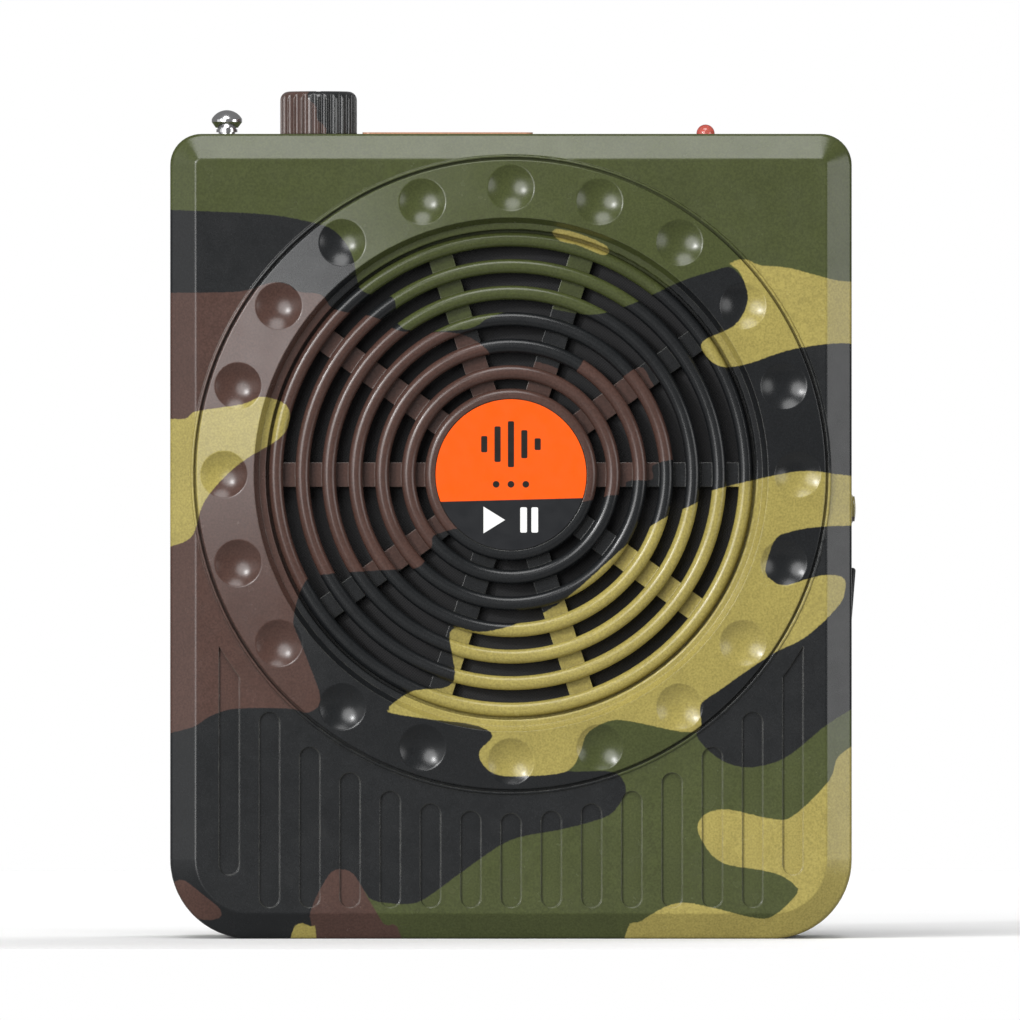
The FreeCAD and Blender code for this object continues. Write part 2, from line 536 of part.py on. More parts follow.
def antenna():
    start = ("antenna_x", "control_y")
    base = tube("base_wall", "base_outer", "base_inner", start + ("25",), "antenna_top - 25")
    floor = rod("base_floor", "base_outer", start + ("24",), "1")
    lug = box("base_lug", ("antenna_x - 2.2", "antenna_x + 2.2"), ("control_y - 0.5", "control_y + 0.5"), ("18", "24"))
    lug_hole = rod("lug_hole", "1.1", ("antenna_x", "control_y - 2", "20.5"), "4", "y")
    keep(cut("base_whole", fuse("base_blank", base, floor, lug), lug_hole), "antenna_base_tube")
    for label, outer, inner, foot in (("antenna_first_section", "first_outer", "first_inner", "26"),
                                      ("antenna_second_section", "second_outer", "second_inner", "28")):
        keep(tube(label + "_wall", outer, inner, start + (foot,), "antenna_top - %s" % foot), label)
    keep(rod("tip_rod", "rod_radius", start + ("30",), "body_height + 0.2 - 30"), "antenna_tip_rod")

    neck = rod("tip_neck", "1.15", start + ("body_height + 0.2",), "0.8")
    flange = rod("tip_flange", "1.45", start + ("body_height + 0.4",), "0.4")
    waist = rod("tip_waist", "1.3", start + ("body_height + 0.8",), "0.3")
    bell = cone("tip_bell", "1.5", "2.1", start + ("body_height + 1.0",), "0.8", "z")
    band = rod("tip_band", "2.1", start + ("body_height + 1.8",), "0.35")
    crown = common("tip_crown", ball("tip_ball", "sqrt(2.1^2 + 1.15^2)", start + ("body_height + 1.0",)),
                   rod("tip_crown_region", "2.5", start + ("body_height + 2.15",), "3"))
    shoulder = size_of("body_height") + 2.15
    keep(round_edges("tip_rounded", fuse("tip_whole", neck, flange, waist, bell, band, crown), 0.3,
                     lambda edge: lies_at_z(edge, shoulder) and is_circle(edge, 2.1)), "antenna_tip_cap")


# ---- sockets, boards and what they carry ----

def socket_shell(name, centre_x, width, y, z_low, wall):
    """A rectangular metal socket open at the top."""
    x = ("%s - %s / 2" % (centre_x, width), "%s + %s / 2" % (centre_x, width))
    inside = (x[0] + " + " + wall, x[1] + " - " + wall)
    return cut(name, box(name + "_outside", x, y, (z_low, "body_height - 0.1")),
               box(name + "_inside", inside, (y[0] + " + " + wall, y[1] + " - " + wall),
                   (z_low + " + 1", "body_height + 1")))


def jack(name, y):
    """A round headphone-size socket: plastic body, nose and bore."""
    body = box(name + "_body", ("jack_x - 3", "jack_x + 3"), y, ("94", "106.2"))
    middle = "(%s + %s) / 2" % y
    nose = rod(name + "_nose", "nose_radius", ("jack_x", middle, "106"), "body_height + 0.2 - 106")
    bore = rod(name + "_bore", "jack_bore", ("jack_x", middle, "95.5"), "15")
    return cut(name, fuse(name + "_blank", body, nose), bore)


def top_ports():
    plate = box("panel_plate", ("panel_left", "panel_right"), ("panel_front", "panel_back"),
                ("body_height + panel_proud - panel_thick", "body_height + panel_proud"))
    corners = round_edges("panel_corners", plate, 1.0,
                          lambda edge: abs(edge.tangentAt(edge.FirstParameter).z) > 0.99)
    through = ("body_height - 2", "body_height + 2")
    back_face = "(board_front + board_thick)"
    usb_y, card_y = ("board_front - 5.7", "board_front"), (back_face, back_face + " + 1.9")
    usb_window = box("usb_window", ("usb_x - 6.7", "usb_x + 6.7"), ("board_front - 5.9", "board_front + 0.2"), through)
    card_window = box("card_window", ("card_x - 6.1", "card_x + 6.1"), (back_face + " - 0.1", back_face + " + 2"),
                      through)
    mic_y, aux_y = (back_face, back_face + " + 4.6"), ("board_front - 4.6", "board_front")
    noses = [rod("nose_window_%d" % i, "nose_radius + 0.1", ("jack_x", "(%s + %s) / 2" % y, "body_height - 2"), "4")
             for i, y in enumerate((mic_y, aux_y))]
    keep(cut("panel_whole", corners, usb_window, card_window, *noses), "port_panel")

    keep(socket_shell("usb_shell", "usb_x", "13.2", usb_y, "94", "0.3"), "usb_socket")
    keep(box("usb_blade", ("usb_x - 5.6", "usb_x + 5.6"), ("board_front - 5.2", "board_front - 3.2"),
             ("95", "body_height - 1")), "usb_tongue")
    keep(socket_shell("card_shell", "card_x", "12", card_y, "93.5", "0.3"), "card_socket")
    keep(jack("mic_jack_whole", mic_y), "mic_jack")
    keep(jack("aux_jack_whole", aux_y), "aux_jack")
    shell = socket_shell("charge_shell", "charge_x", "9.2", ("board_front - 3.3", "board_front"), "100", "0.3")
    blade = box("charge_blade", ("charge_x - 3.2", "charge_x + 3.2"), ("board_front - 2.0", "board_front - 1.3"),
                ("100.5", "body_height - 1"))
    keep(fuse("charge_whole", shell, blade), "charge_socket")

    pipe = rod("led_pipe", "1.25", ("led_x", "control_y", "101"), "body_height + 0.2 - 101")
    collar = rod("led_collar", "2.1", ("led_x", "control_y", "104.8"), "1.4")
    keep(fuse("led_whole", pipe, collar, ball("led_dome", "1.25", ("led_x", "control_y", "body_height + 0.2"))),
         "led_lens")


def boards():
    y = ("board_front", "board_front + board_thick")
    blank = box("board_blank", ("-34.6", "35"), y, ("84", "105"))
    notch = box("board_notch", ("-36", "-30.4"), y, ("99.5", "106"))
    other_notch = box("board_notch_right", ("33", "36"), y, ("98", "106"))
    holes = [rod("board_hole_%d" % i, "1.15", (x, "-1", z), "4", "y") for i, (x, z) in enumerate(BOARD_SCREWS)]
    keep(cut("board_whole", blank, notch, other_notch, *holes), "main_board")
    back = "board_front + board_thick"
    keep(box("amp_package", ("10", "15.2"), (back, back + " + 1.5"), ("88", "98")), "amplifier_chip")
    keep(box("controller_package", ("-14", "-6"), (back, back + " + 1.2"), ("85", "91.5")), "controller_chip")
    keep(group("capacitor_set", *[rod("capacitor_%d" % i, "2.5", (x, back, "89"), "5.4", "y")
                                  for i, x in enumerate(("20.5", "26.5", "2"))]), "capacitors")
    keep(fuse("inductor_whole", rod("inductor_core", "3", ("-24", back, "89"), "3.2", "y"),
              box("inductor_base", ("-27.4", "-20.6"), (back, back + " + 0.6"), ("85.6", "92.4"))), "inductor")
    keep(box("led_package", ("led_x - 1.6", "led_x + 1.6"), ("control_y - 0.9", "board_front"), ("99.6", "100.8")),
         "status_led")

    side = box("side_board_blank", ("37", "38.6"), ("side_y - 7", "side_y + 7"), ("36.6", "67.2"))
    side_holes = [rod("side_hole_%d" % i, "1.15", ("36", "side_y", z), "4", "x") for i, z in enumerate(SIDE_SCREWS)]
    keep(cut("side_board_whole", side, *side_holes), "side_board")


# ---- push button and rocker on the right-hand side ----

def side_controls():
    stem = rod("button_stem", "button_radius", ("43.3", "side_y", "button_z"), "2.9", "x")
    rim = size_of("button_radius")
    softened = round_edges("button_soft", stem, 0.5, lambda edge: is_circle(edge, rim) and edge.BoundBox.XMin > 46)
    dome = common("button_dome", ball("button_ball", "8", ("38.6", "side_y", "button_z")),
                  rod("button_region", "1.7", ("46", "side_y", "button_z"), "2", "x"))
    flange = rod("button_flange", "2.9", ("42.6", "side_y", "button_z"), "1.15", "x")
    keep(fuse("button_whole", softened, dome, flange), "play_button")

    case = box("switch_case", ("38.6", "41.6"), ("side_y - 3", "side_y + 3"), ("button_z - 3", "button_z + 3"))
    keep(cut("switch_whole", case, rod("switch_bore", "1.65", ("40.6", "side_y", "button_z"), "2", "x")),
         "button_switch")
    keep(rod("plunger", "1.6", ("41.2", "side_y", "button_z"), "1.4", "x"), "switch_plunger")

    pivot = ("rocker_pivot_x", "side_y", "rocker_z")
    cap = box("rocker_cap", ("rocker_pivot_x - 1.6", "rocker_pivot_x + 4.3"), ("side_y - 2.2", "side_y + 2.2"),
              ("rocker_z - 3.75", "rocker_z + 3.75"))
    soft_cap = round_edges("rocker_soft", cap, 0.4, lambda edge: edge.BoundBox.XMin > 46)
    axle = rod("rocker_axle", "0.75", (pivot[0], "side_y - 2.9", pivot[2]), "5.8", "y")
    key = fuse("rocker_level", soft_cap, axle)
    doc.recompute()
    centre = Vector(size_of("rocker_pivot_x"), size_of("side_y"), size_of("rocker_z"))
    tilt = Placement(Vector(), Rotation(Vector(0, 1, 0), size_of("rocker_tilt")), centre)
    keep(placed_shape("rocker_tilted", key.Shape, tilt), "rocker_key")

    housing = box("rocker_housing", ("38.6", "43.7"), ("side_y - 3.6", "side_y + 3.6"), ("rocker_z - 5",
                                                                                       "rocker_z + 5"))
    room = box("rocker_room", ("39.6", "45"), ("side_y - 2.4", "side_y + 2.4"), ("rocker_z - 4.4", "rocker_z + 4.4"))
    bearing = rod("rocker_bearing", "0.8", (pivot[0], "side_y - 3", pivot[2]), "6", "y")
    keep(cut("rocker_body", housing, room, bearing), "rocker_switch_body")


# ---- battery ----

def battery():
    can = rod("cell_can", "cell_radius", ("cell_left", "cell_y", "cell_z"), "cell_length - 1.2", "x")
    button = rod("cell_button", "3", ("cell_left + cell_length - 1.2", "cell_y", "cell_z"), "1.2", "x")
    edges = round_edges("cell_soft", can, 0.6, lambda edge: is_circle(edge, size_of("cell_radius")))
    keep(fuse("cell_whole", edges, button), "battery_cell")

    plate = box("minus_plate", ("-tub_side + tub_wall", "-tub_side + tub_wall + 0.5"), ("cell_y - 6", "cell_y + 6"),
                ("cell_z - 7", "cell_z + 7"))
    plate_face = size_of("tub_wall") - size_of("tub_side") + 0.5
    wire, turns = 0.4, 2.5
    room = size_of("cell_left") - plate_face - 1.6 * wire
    spring = coil_spring("minus_coil", 5.0, wire, room / turns, room,
                         Vector(plate_face + 0.6 * wire, size_of("cell_y"), size_of("cell_z")))
    keep(fuse("minus_whole", plate, spring), "battery_spring_contact")
    keep(box("plus_plate", ("tub_side - tub_wall - 0.6", "tub_side - tub_wall"), ("cell_y - 6", "cell_y + 6"),
             ("cell_z - 7", "cell_z + 7")), "battery_plate_contact")


# ---- belt clip ----

def belt_clip():
    plate = box("clip_plate", ("-11", "11"), ("rear_y", "rear_y + 1.6"), ("79", "97"))
    soft = round_edges("clip_plate_soft", plate, 2.0,
                       lambda edge: abs(edge.tangentAt(edge.FirstParameter).y) > 0.99)
    ears, ear_holes = [], []
    for i, (low, high) in enumerate((("-11", "-9"), ("9", "11"))):
        ears.append(fuse("ear_%d" % i, box("ear_web_%d" % i, (low, high), ("rear_y + 1", "clip_y"),
                                           ("clip_z - 3.2", "clip_z + 3.2")),
                         rod("ear_round_%d" % i, "3.2", (low, "clip_y", "clip_z"), "2", "x")))
        ear_holes.append(rod("ear_hole_%d" % i, "pin_radius", (low + " - 1", "clip_y", "clip_z"), "4", "x"))
    holes = [rod("plate_hole_%d" % i, "1.15", (x, "rear_y - 1", z), "4", "y") for i, (x, z) in enumerate(CLIP_SCREWS)]
    keep(cut("bracket_whole", fuse("bracket_blank", soft, *ears), *(ear_holes + holes)), "clip_bracket")
    keep(rod("hinge_pin", "pin_radius", ("-11.2", "clip_y", "clip_z"), "22.4", "x"), "clip_pin")

    half = ("-arm_half", "arm_half")
    outer_y = "clip_y + 2.2"
    blade = box("arm_blade", half, (outer_y + " - arm_thick", outer_y), ("arm_bottom + 2", "clip_z + 7"))
    blade_soft = round_edges("arm_soft", blade, 3.0,
                             lambda edge: abs(edge.tangentAt(edge.FirstParameter).y) > 0.99)
    toe = box("arm_toe", ("-5", "5"), ("rear_y + 0.3", outer_y), ("arm_bottom + 2", "arm_bottom + 4.4"))
    barrels = [rod("arm_barrel_%d" % i, "2.2", (low, "clip_y", "clip_z"), "4", "x")
               for i, low in enumerate(("-arm_half", "arm_half - 4"))]
    bore = rod("arm_bore", "pin_radius + 0.05", ("-arm_half - 1", "clip_y", "clip_z"), "20", "x")
    window = box("arm_window", ("-3.9", "3.9"), ("clip_y - 4", "clip_y + 4"), ("clip_z - 2.9", "clip_z + 2.9"))
    keep(cut("arm_whole", fuse("arm_blank", blade_soft, toe, *barrels), bore, window), "clip_arm")

    wire, turns, coil_radius = 0.35, 6, 1.9
    pitch = 2 * wire + 0.15
    keep(coil_spring("torsion_coil", coil_radius, wire, pitch, pitch * turns,
                     Vector(-pitch * turns / 2, size_of("clip_y"), size_of("clip_z"))), "clip_spring")


# ---- leads inside the case ----

def lead(name, points, radius, wire_radius):
    """A round wire along straight runs joined by tangent arcs of one radius."""
    stops = [Vector(*point) for point in points]
    edges, start = [], stops[0]
    for before, corner, after in zip(stops, stops[1:], stops[2:]):
        arriving, leaving = (corner - before).normalize(), (after - corner).normalize()
        turn = arriving.getAngle(leaving)
        back_off = radius * math.tan(turn / 2)
        enter, leave = corner - arriving * back_off, corner + leaving * back_off
        inward = (leaving - arriving).normalize()
        middle = corner + inward * (radius / math.cos(turn / 2) - radius)
        edges += [Part.LineSegment(start, enter).toShape(), Part.Arc(enter, middle, leave).toShape()]
        start = leave
    edges.append(Part.LineSegment(start, stops[-1]).toShape())
    path = Part.Wire(edges)
    first = (stops[1] - stops[0]).normalize()
    section = Part.Wire(Part.makeCircle(wire_radius, stops[0], first))
    return placed_shape(name, path.makePipeShell([section], True, False))


def leads():
    keep(group("speaker_lead_pair", *[lead("speaker_lead_%d" % i,
                                           [(x, 1.82, 86.0), (x, 12.5, 86.0), (x, 12.5, 73.0), (x, 10.02, 73.0)],
                                           1.6, 0.5) for i, x in enumerate((-3.0, -1.2))]), "speaker_leads")
    keep(group("battery_lead_pair", *[lead("battery_lead_%d" % i,
                                           [(x, 1.81, 85.5), (x, 6.5, 85.5), (x, 6.5, 60.0), (x, 12.0, 40.0),
                                            (x, 12.0, 25.62)], 2.5, 0.6)
                                      for i, x in enumerate((24.0, 26.0))]), "battery_leads")
    keep(lead("aerial_lead", [(-36.08, -2.6, 72.0), (-33.6, -2.6, 72.0), (-33.6, -2.6, 88.0), (-33.6, 0.18, 88.0)],
              0.9, 0.35), "antenna_lead")


case_form = envelope()
front_shell(case_form)
rear_shell(case_form)
battery_door(case_form)
screws()
loudspeaker()
volume_control()
antenna()
top_ports()
boards()
side_controls()
battery()
belt_clip()
leads()
doc.recompute()

broken = [item.Name for item in doc.Objects if "Invalid" in item.State or "Error" in item.State]
broken += [item.Label for item in nodes if item.Shape.isNull() or not item.Shape.isValid()]
if broken:
    raise SystemExit("failed: " + ", ".join(broken))

os.makedirs("parts", exist_ok=True)
for item in nodes:
    item.Shape.exportStep("parts/%s.step" % item.Label)
    print("%-26s %2d solid %9.1f mm3" % (item.Label, len(item.Shape.Solids), item.Shape.Volume))
print(len(nodes), "nodes")
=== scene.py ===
"""Finishes, stage and camera for the electronic game caller.

The camouflage artwork is laid out in millimetres on the front of the case, x across and z up.
"""
import json
import math

import bpy
import numpy as np
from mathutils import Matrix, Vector


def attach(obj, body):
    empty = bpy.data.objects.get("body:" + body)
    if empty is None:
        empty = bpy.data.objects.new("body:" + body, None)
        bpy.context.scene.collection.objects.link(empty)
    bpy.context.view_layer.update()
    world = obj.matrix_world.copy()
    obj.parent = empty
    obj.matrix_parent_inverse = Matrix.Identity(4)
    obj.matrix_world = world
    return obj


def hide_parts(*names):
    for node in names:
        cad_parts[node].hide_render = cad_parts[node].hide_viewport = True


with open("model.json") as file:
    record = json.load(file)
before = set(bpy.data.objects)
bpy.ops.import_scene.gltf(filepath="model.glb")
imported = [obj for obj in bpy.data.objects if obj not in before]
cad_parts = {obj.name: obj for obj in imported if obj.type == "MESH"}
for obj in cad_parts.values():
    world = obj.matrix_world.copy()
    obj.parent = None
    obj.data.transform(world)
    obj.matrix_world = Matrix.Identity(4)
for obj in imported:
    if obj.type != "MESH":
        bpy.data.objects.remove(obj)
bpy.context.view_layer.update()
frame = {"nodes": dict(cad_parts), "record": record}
NODES = frame["nodes"]
BODY_OF = {node: body for body, nodes in frame["record"]["behaviour"]["bodies"].items() for node in nodes}
MM = 0.001


# ---- camouflage artwork, in mm ----

DISC_CENTRE = (0.0, 62.5)


def arc(radius, start, end):
    """Points along a circle round the grille's centre, from one angle to another in degrees."""
    count = max(2, round(abs(end - start) / 6) + 1)
    turns = np.radians(np.linspace(start, end, count))
    return [(DISC_CENTRE[0] + radius * math.cos(t), DISC_CENTRE[1] + radius * math.sin(t)) for t in turns]


# Closed outlines that run well past the case's edges. Where they overlap, brown lies over black and tan
# over both; everything else is green.
BLACK = [
    [(-60, -20), (-60, 98.5), (-50, 98.3), (-42, 98), (-32.5, 97.5), (-27, 96.5), (-24, 95.5), (-22.2, 93.6),
     (-21.2, 91.5), (-20.8, 89.2), (-20.2, 87.4), (-18.3, 86.6), (-15.7, 86.2), (-14.5, 82.1), (-5.9, 82.1),
     (-2.8, 83.7), (3, 85.2), (10.6, 84), (16.6, 85.6), (22.6, 88.4), (27.5, 90), (29.9, 90.3), (33, 87),
     (40, 84), (60, 83), (60, 34), (50, 32.5), (43.5, 29.5), (37.6, 24.8), (34.2, 23.4), (31.5, 23.1),
     (28.8, 23.8), (26.8, 25.2), (25, 27.2), (24, 30), (14, 31.5), (9, 29), (7, 24), (7.5, 22.6),
     (13.7, 22.5), (15.5, 20.3), (14.7, 18.3), (12.7, 16.4), (6.6, 14.7), (-0.1, 13.3), (-6.2, 9.3),
     (-11.6, 5.4), (-14.3, 4.7),
     (-18.7, 5.2), (-20, 6.6), (-22, 4), (-22, -20)],
]
BROWN = [
    [(-60, 26), (-60, 87), (-50, 87), (-41, 87), (-36, 87.2), (-33.6, 88), (-31.6, 88.4), (-29.8, 88),
     (-28.6, 87.1), (-25.5, 86.7), (-23.7, 84.7), (-18.3, 83.7), (-14.8, 81.8), (-7, 81.5), (-3.2, 79.3)]
    + arc(15.6, 100, 58) + arc(19.1, 57, 42) + arc(22.7, 40, 6) + arc(19.1, 4, -2) + arc(15.6, -3, -9)
    + [(12.5, 59.6), (10.9, 59.1), (-8.8, 54.9), (-10.6, 53), (-12.3, 50.1), (-16.4, 49.7), (-25.7, 49),
       (-28, 47.6), (-29.3, 43), (-28.4, 40.2), (-26.6, 35.5), (-25.7, 32.8), (-26, 31.2), (-27.7, 30.4),
       (-29.7, 31), (-37, 31), (-40.5, 30), (-43.2, 28.4), (-50, 27)],
    [(-26.8, -20), (-26.8, 0), (-27, 3.6), (-25, 7.9), (-23.7, 9.3), (-22.3, 9.3), (-21, 8.5), (-18.7, 4.6),
     (-17, 1.9), (-14.7, 0), (-12, -20)],
    [(-44.5, 8), (-41.5, 6), (-39, 3.8), (-39.8, 2.6), (-43, 3), (-46, 6)],
]
TAN = [
    [(-60, 70.5), (-50, 70.3), (-44, 70), (-42.5, 71), (-36, 72), (-33.5, 73), (-30, 71.6), (-30.7, 67.8),
     (-36.8, 63.8), (-41.2, 59), (-42.8, 54.4), (-45.6, 52.9), (-50, 52), (-60, 52)],
    [(60, 88.6), (50, 88.6), (44.3, 88.6), (37.5, 90.3), (33.5, 90.7), (31.5, 91.5), (29.2, 90.9),
     (30.8, 89.8), (31.9, 86), (30.1, 82.6), (26.5, 80.9), (25.6, 79.9), (26.1, 78.6), (28.1, 77.1), (31.5, 77.3),
     (37.6, 79.3), (44.3, 80.2), (50, 79.6), (60, 79.3)],
    [(60, 62), (50, 62), (43.6, 62.6), (40.2, 63), (36.5, 62.6), (27.2, 60.4), (25.2, 58.8), (21.1, 56.9),
     (16.3, 53.7), (7.4, 45.8), (1.3, 42.6), (-4, 41.3), (-8.2, 41.6), (-7.7, 34.5), (-13.2, 33.4),
     (-16.6, 31.1), (-16.6, 30.5), (-10.4, 29.5), (-5.3, 28.9), (-2.4, 27.5), (-4.2, 25.4), (-4, 23.8),
     (-2.2, 22.2), (1, 21.9), (7.4, 22.5), (9.3, 25.1), (10.2, 27.6), (12.8, 29.2), (15.6, 29.4),
     (24.9, 27.8), (25.5, 31.5), (28.1, 33.5), (34.9, 38.2), (39.6, 40.6), (44, 44.7), (45, 47),
     (44.7, 48.7), (41.6, 48.9), (36.9, 47.6), (35.1, 48.3), (34.2, 49.7), (35.5, 53.7), (37.6, 54.8),
     (41.6, 55.5), (50, 55.7), (60, 55.7)],
    [(60, 28), (50, 27.5), (44.3, 24.8), (42.9, 21.4), (38.2, 16.7), (35.5, 16.1), (29.5, 17.4), (26.8, 17.1),
     (25.4, 16), (25.3, 14), (28.1, 10.4), (33.5, 9.3), (36.2, 8.6), (38.2, 7.3), (38.6, 6.2), (35.5, 3.2),
     (32.8, 2.8), (26.8, 4.3), (22.1, 4.8), (17.4, 2.3), (15.3, 0.1), (12, -20), (60, -20)],
    [(-30, -20), (-29.7, 0.1), (-26.8, 1.6), (-26.2, 0.1), (-25, -20)],
    [(5.5, 95.6), (9, 95), (13, 93.2), (12.6, 92), (9, 93.4), (6.5, 94)],
]


def smoothed(points, pieces=4):
    """A closed curve through the points, as short straight pieces."""
    p1 = np.array(points, float)
    p0, p2, p3 = np.roll(p1, 1, axis=0), np.roll(p1, -1, axis=0), np.roll(p1, -2, axis=0)
    steps = []
    for t in np.arange(pieces) / pieces:
        steps.append(0.5 * (2 * p1 + (p2 - p0) * t + (2 * p0 - 5 * p1 + 4 * p2 - p3) * t ** 2
                            + (3 * p1 - p0 - 3 * p2 + p3) * t ** 3))
    return np.stack(steps, axis=1).reshape(-1, 2)


def signed_distance(x, z, outline):
    """Distance from each point to a closed outline, positive inside it."""
    nearest = np.full(x.shape, np.inf)
    inside = np.zeros(x.shape, bool)
    for (x0, z0), (x1, z1) in zip(outline, np.roll(outline, -1, axis=0)):
        dx, dz = x1 - x0, z1 - z0
        along = np.clip(((x - x0) * dx + (z - z0) * dz) / (dx * dx + dz * dz), 0, 1)
        nearest = np.minimum(nearest, (x - x0 - along * dx) ** 2 + (z - z0 - along * dz) ** 2)
        if dz:
            inside ^= ((z0 > z) != (z1 > z)) & (x < x0 + (z - z0) / dz * dx)
    return np.sqrt(nearest) * np.where(inside, 1, -1)


GRID_STEP = 0.5
GRID_X = np.arange(-50, 50 + GRID_STEP, GRID_STEP)
GRID_Z = np.arange(-6, 114 + GRID_STEP, GRID_STEP)
grid_x, grid_z = np.meshgrid(GRID_X, GRID_Z, indexing="ij")
ARTWORK = [np.max([signed_distance(grid_x, grid_z, smoothed(patch)) for patch in patches], axis=0)
           for patches in (BLACK, BROWN, TAN)]


def read_grid(values, x, z):
    """The grid's value at each point, by bilinear interpolation."""
    u = np.clip((x - GRID_X[0]) / GRID_STEP, 0, len(GRID_X) - 1.001)
    v = np.clip((z - GRID_Z[0]) / GRID_STEP, 0, len(GRID_Z) - 1.001)
    i, j = u.astype(int), v.astype(int)
    u, v = u - i, v - j
    return ((values[i, j] * (1 - u) + values[i + 1, j] * u) * (1 - v)
            + (values[i, j + 1] * (1 - u) + values[i + 1, j + 1] * u) * v)


def waves(points, seed, length):
    """A smooth random field in space, mostly between -1 and 1, with patches of about that length."""
    random = np.random.RandomState(seed)
    total = np.zeros(len(points))
    for _ in range(8):
        direction = random.normal(size=3)
        direction *= 2 * math.pi / (length * random.uniform(0.7, 1.6) * np.linalg.norm(direction))
        total += np.sin(points @ direction + random.uniform(0, 2 * math.pi))
    return total / 3


def step(value, low, high):
    """0 below low, 1 above high and a smooth rise between."""
    t = np.clip((value - low) / (high - low), 0, 1)
    return t * t * (3 - 2 * t)


def loose_patches(points):
    """Distances to black, brown and tan patches that lie freely in space: a wave's height, less a threshold."""
    bent = points + 5 * np.stack([waves(points, seed, 34) for seed in (11, 12, 13)], axis=1)
    return np.stack([10 * waves(bent, 3, 62) + 1.0, 10 * waves(bent, 8, 66) - 3.5,
                     9 * waves(bent, 21, 58) - 4.8], axis=1)


WRAP_FROM, WRAP_TO = -15, 4


def case_camo(points):
    """The artwork on the front, which drifts into loose patches along the sides and over the back."""
    x, y, z = points.T
    front = np.stack([read_grid(values, x, z) for values in ARTWORK], axis=1)
    wrap = step(y, WRAP_FROM, WRAP_TO)[:, None]
    return front * (1 - wrap) + loose_patches(points) * wrap


EVERYWHERE, NOWHERE = 5.0, -5.0
KNOB_SPLIT_X, KNOB_SPLIT_LEAN, KNOB_FOOT_Z = -24.8, 0.46, 108.8
BUTTON_SPLIT_Z = 57.4


def knob_camo(points):
    """Brown on the left of the knob and black on the right, along a wavy leaning line."""
    x, y, z = points.T
    split_x = KNOB_SPLIT_X - KNOB_SPLIT_LEAN * (z - KNOB_FOOT_Z)
    brown = split_x - x + 0.3 * np.sin(2.2 * z) + 0.5 * np.sin(0.9 * y)
    return np.stack([np.full(len(x), EVERYWHERE), brown, np.full(len(x), NOWHERE)], axis=1)


def button_camo(points):
    """Tan above and brown below."""
    x, y, z = points.T
    tan = z - BUTTON_SPLIT_Z + 0.6 * np.sin(2 * y)
    return np.stack([np.full(len(x), NOWHERE), np.full(len(x), EVERYWHERE), tan], axis=1)


# ---- painted pieces ----

# The grille's cap and rings, whose flat crowns are BEAD_FLAT to each side (CAP_FLAT on the cap) and then fall
# away in a quarter circle of radius BEAD_ROUND.
RING_COUNT, RING_FIRST, RING_PITCH = 6, 13.8, 3.57
BEAD_FLAT, BEAD_ROUND = 0.1, 0.85
CAP_FLAT = 10.75
CROWN_BACK_Y = -16.95
CROWN_INSET, CROWN_SLACK = 0.21, 0.01
CROWN_CENTRES = np.array([0.0] + [RING_FIRST + RING_PITCH * k for k in range(RING_COUNT)])
CROWN_FLATS = np.array([CAP_FLAT] + [BEAD_FLAT] * RING_COUNT)


def crown_at(points):
    """For each point, the number of its crown on the grille (-1 for none), its radius and its direction."""
    flat = points[..., [0, 2]] - DISC_CENTRE
    radius = np.linalg.norm(flat, axis=-1)
    past_flat = np.abs(radius[..., None] - CROWN_CENTRES) - CROWN_FLATS
    on_bead = (past_flat > -CROWN_INSET) & (past_flat < BEAD_ROUND + CROWN_SLACK)
    found = on_bead & (points[..., 1] < CROWN_BACK_Y)[..., None]
    which = np.where(found.any(axis=-1), np.argmax(found, axis=-1), -1)
    return which, radius, flat / np.maximum(radius, 0.01)[..., None]


def round_middles(ends):
    """The middle of each edge; along a ring it stays on the ring's circle."""
    middles = ends.mean(axis=1)
    which, radius, outward = crown_at(ends)
    along = (which[:, 0] == which[:, 1]) & (which[:, 0] >= 0)
    turned = outward[along].sum(axis=1)
    turned *= radius[along].mean(axis=1, keepdims=True) / np.linalg.norm(turned, axis=1, keepdims=True)
    middles[np.ix_(along, [0, 2])] = DISC_CENTRE + turned
    return middles


SAME_SIDE = 0.8


def crown_normals(points, normals):
    """The normals, made exact on the rounded crowns of the grille's cap and rings."""
    which, radius, outward = crown_at(points)
    side = radius - CROWN_CENTRES[which]
    lean = np.clip((np.abs(side) - CROWN_FLATS[which]) / BEAD_ROUND, 0, 1) * np.sign(side)
    exact = np.stack([lean * outward[:, 0], -np.sqrt(1 - lean ** 2), lean * outward[:, 1]], axis=1)
    agree = (which >= 0) & ((exact * normals).sum(axis=1) > SAME_SIDE)
    return np.where(agree[:, None], exact, normals)


def halve_long_edges(points, normals, faces, longest):
    """Splits each edge longer than longest(middles) at its middle, keeping the triangles joined."""
    for _ in range(9):
        corners = np.stack([faces, np.roll(faces, -1, axis=1)], axis=2).reshape(-1, 2)
        edges, edge_of = np.unique(np.sort(corners, axis=1), axis=0, return_inverse=True)
        ends = points[edges]
        middles = round_middles(ends)
        long = np.linalg.norm(ends[:, 0] - ends[:, 1], axis=1) > longest(middles)
        if not long.any():
            break
        added = np.full(len(edges), -1)
        added[long] = len(points) + np.arange(long.sum())
        turned = normals[edges[long]].sum(axis=1)
        points = np.vstack([points, middles[long]])
        normals = np.vstack([normals, turned / np.linalg.norm(turned, axis=1, keepdims=True)])
        faces = split_faces(faces, added[edge_of.reshape(-1, 3)])
    return points, normals, faces


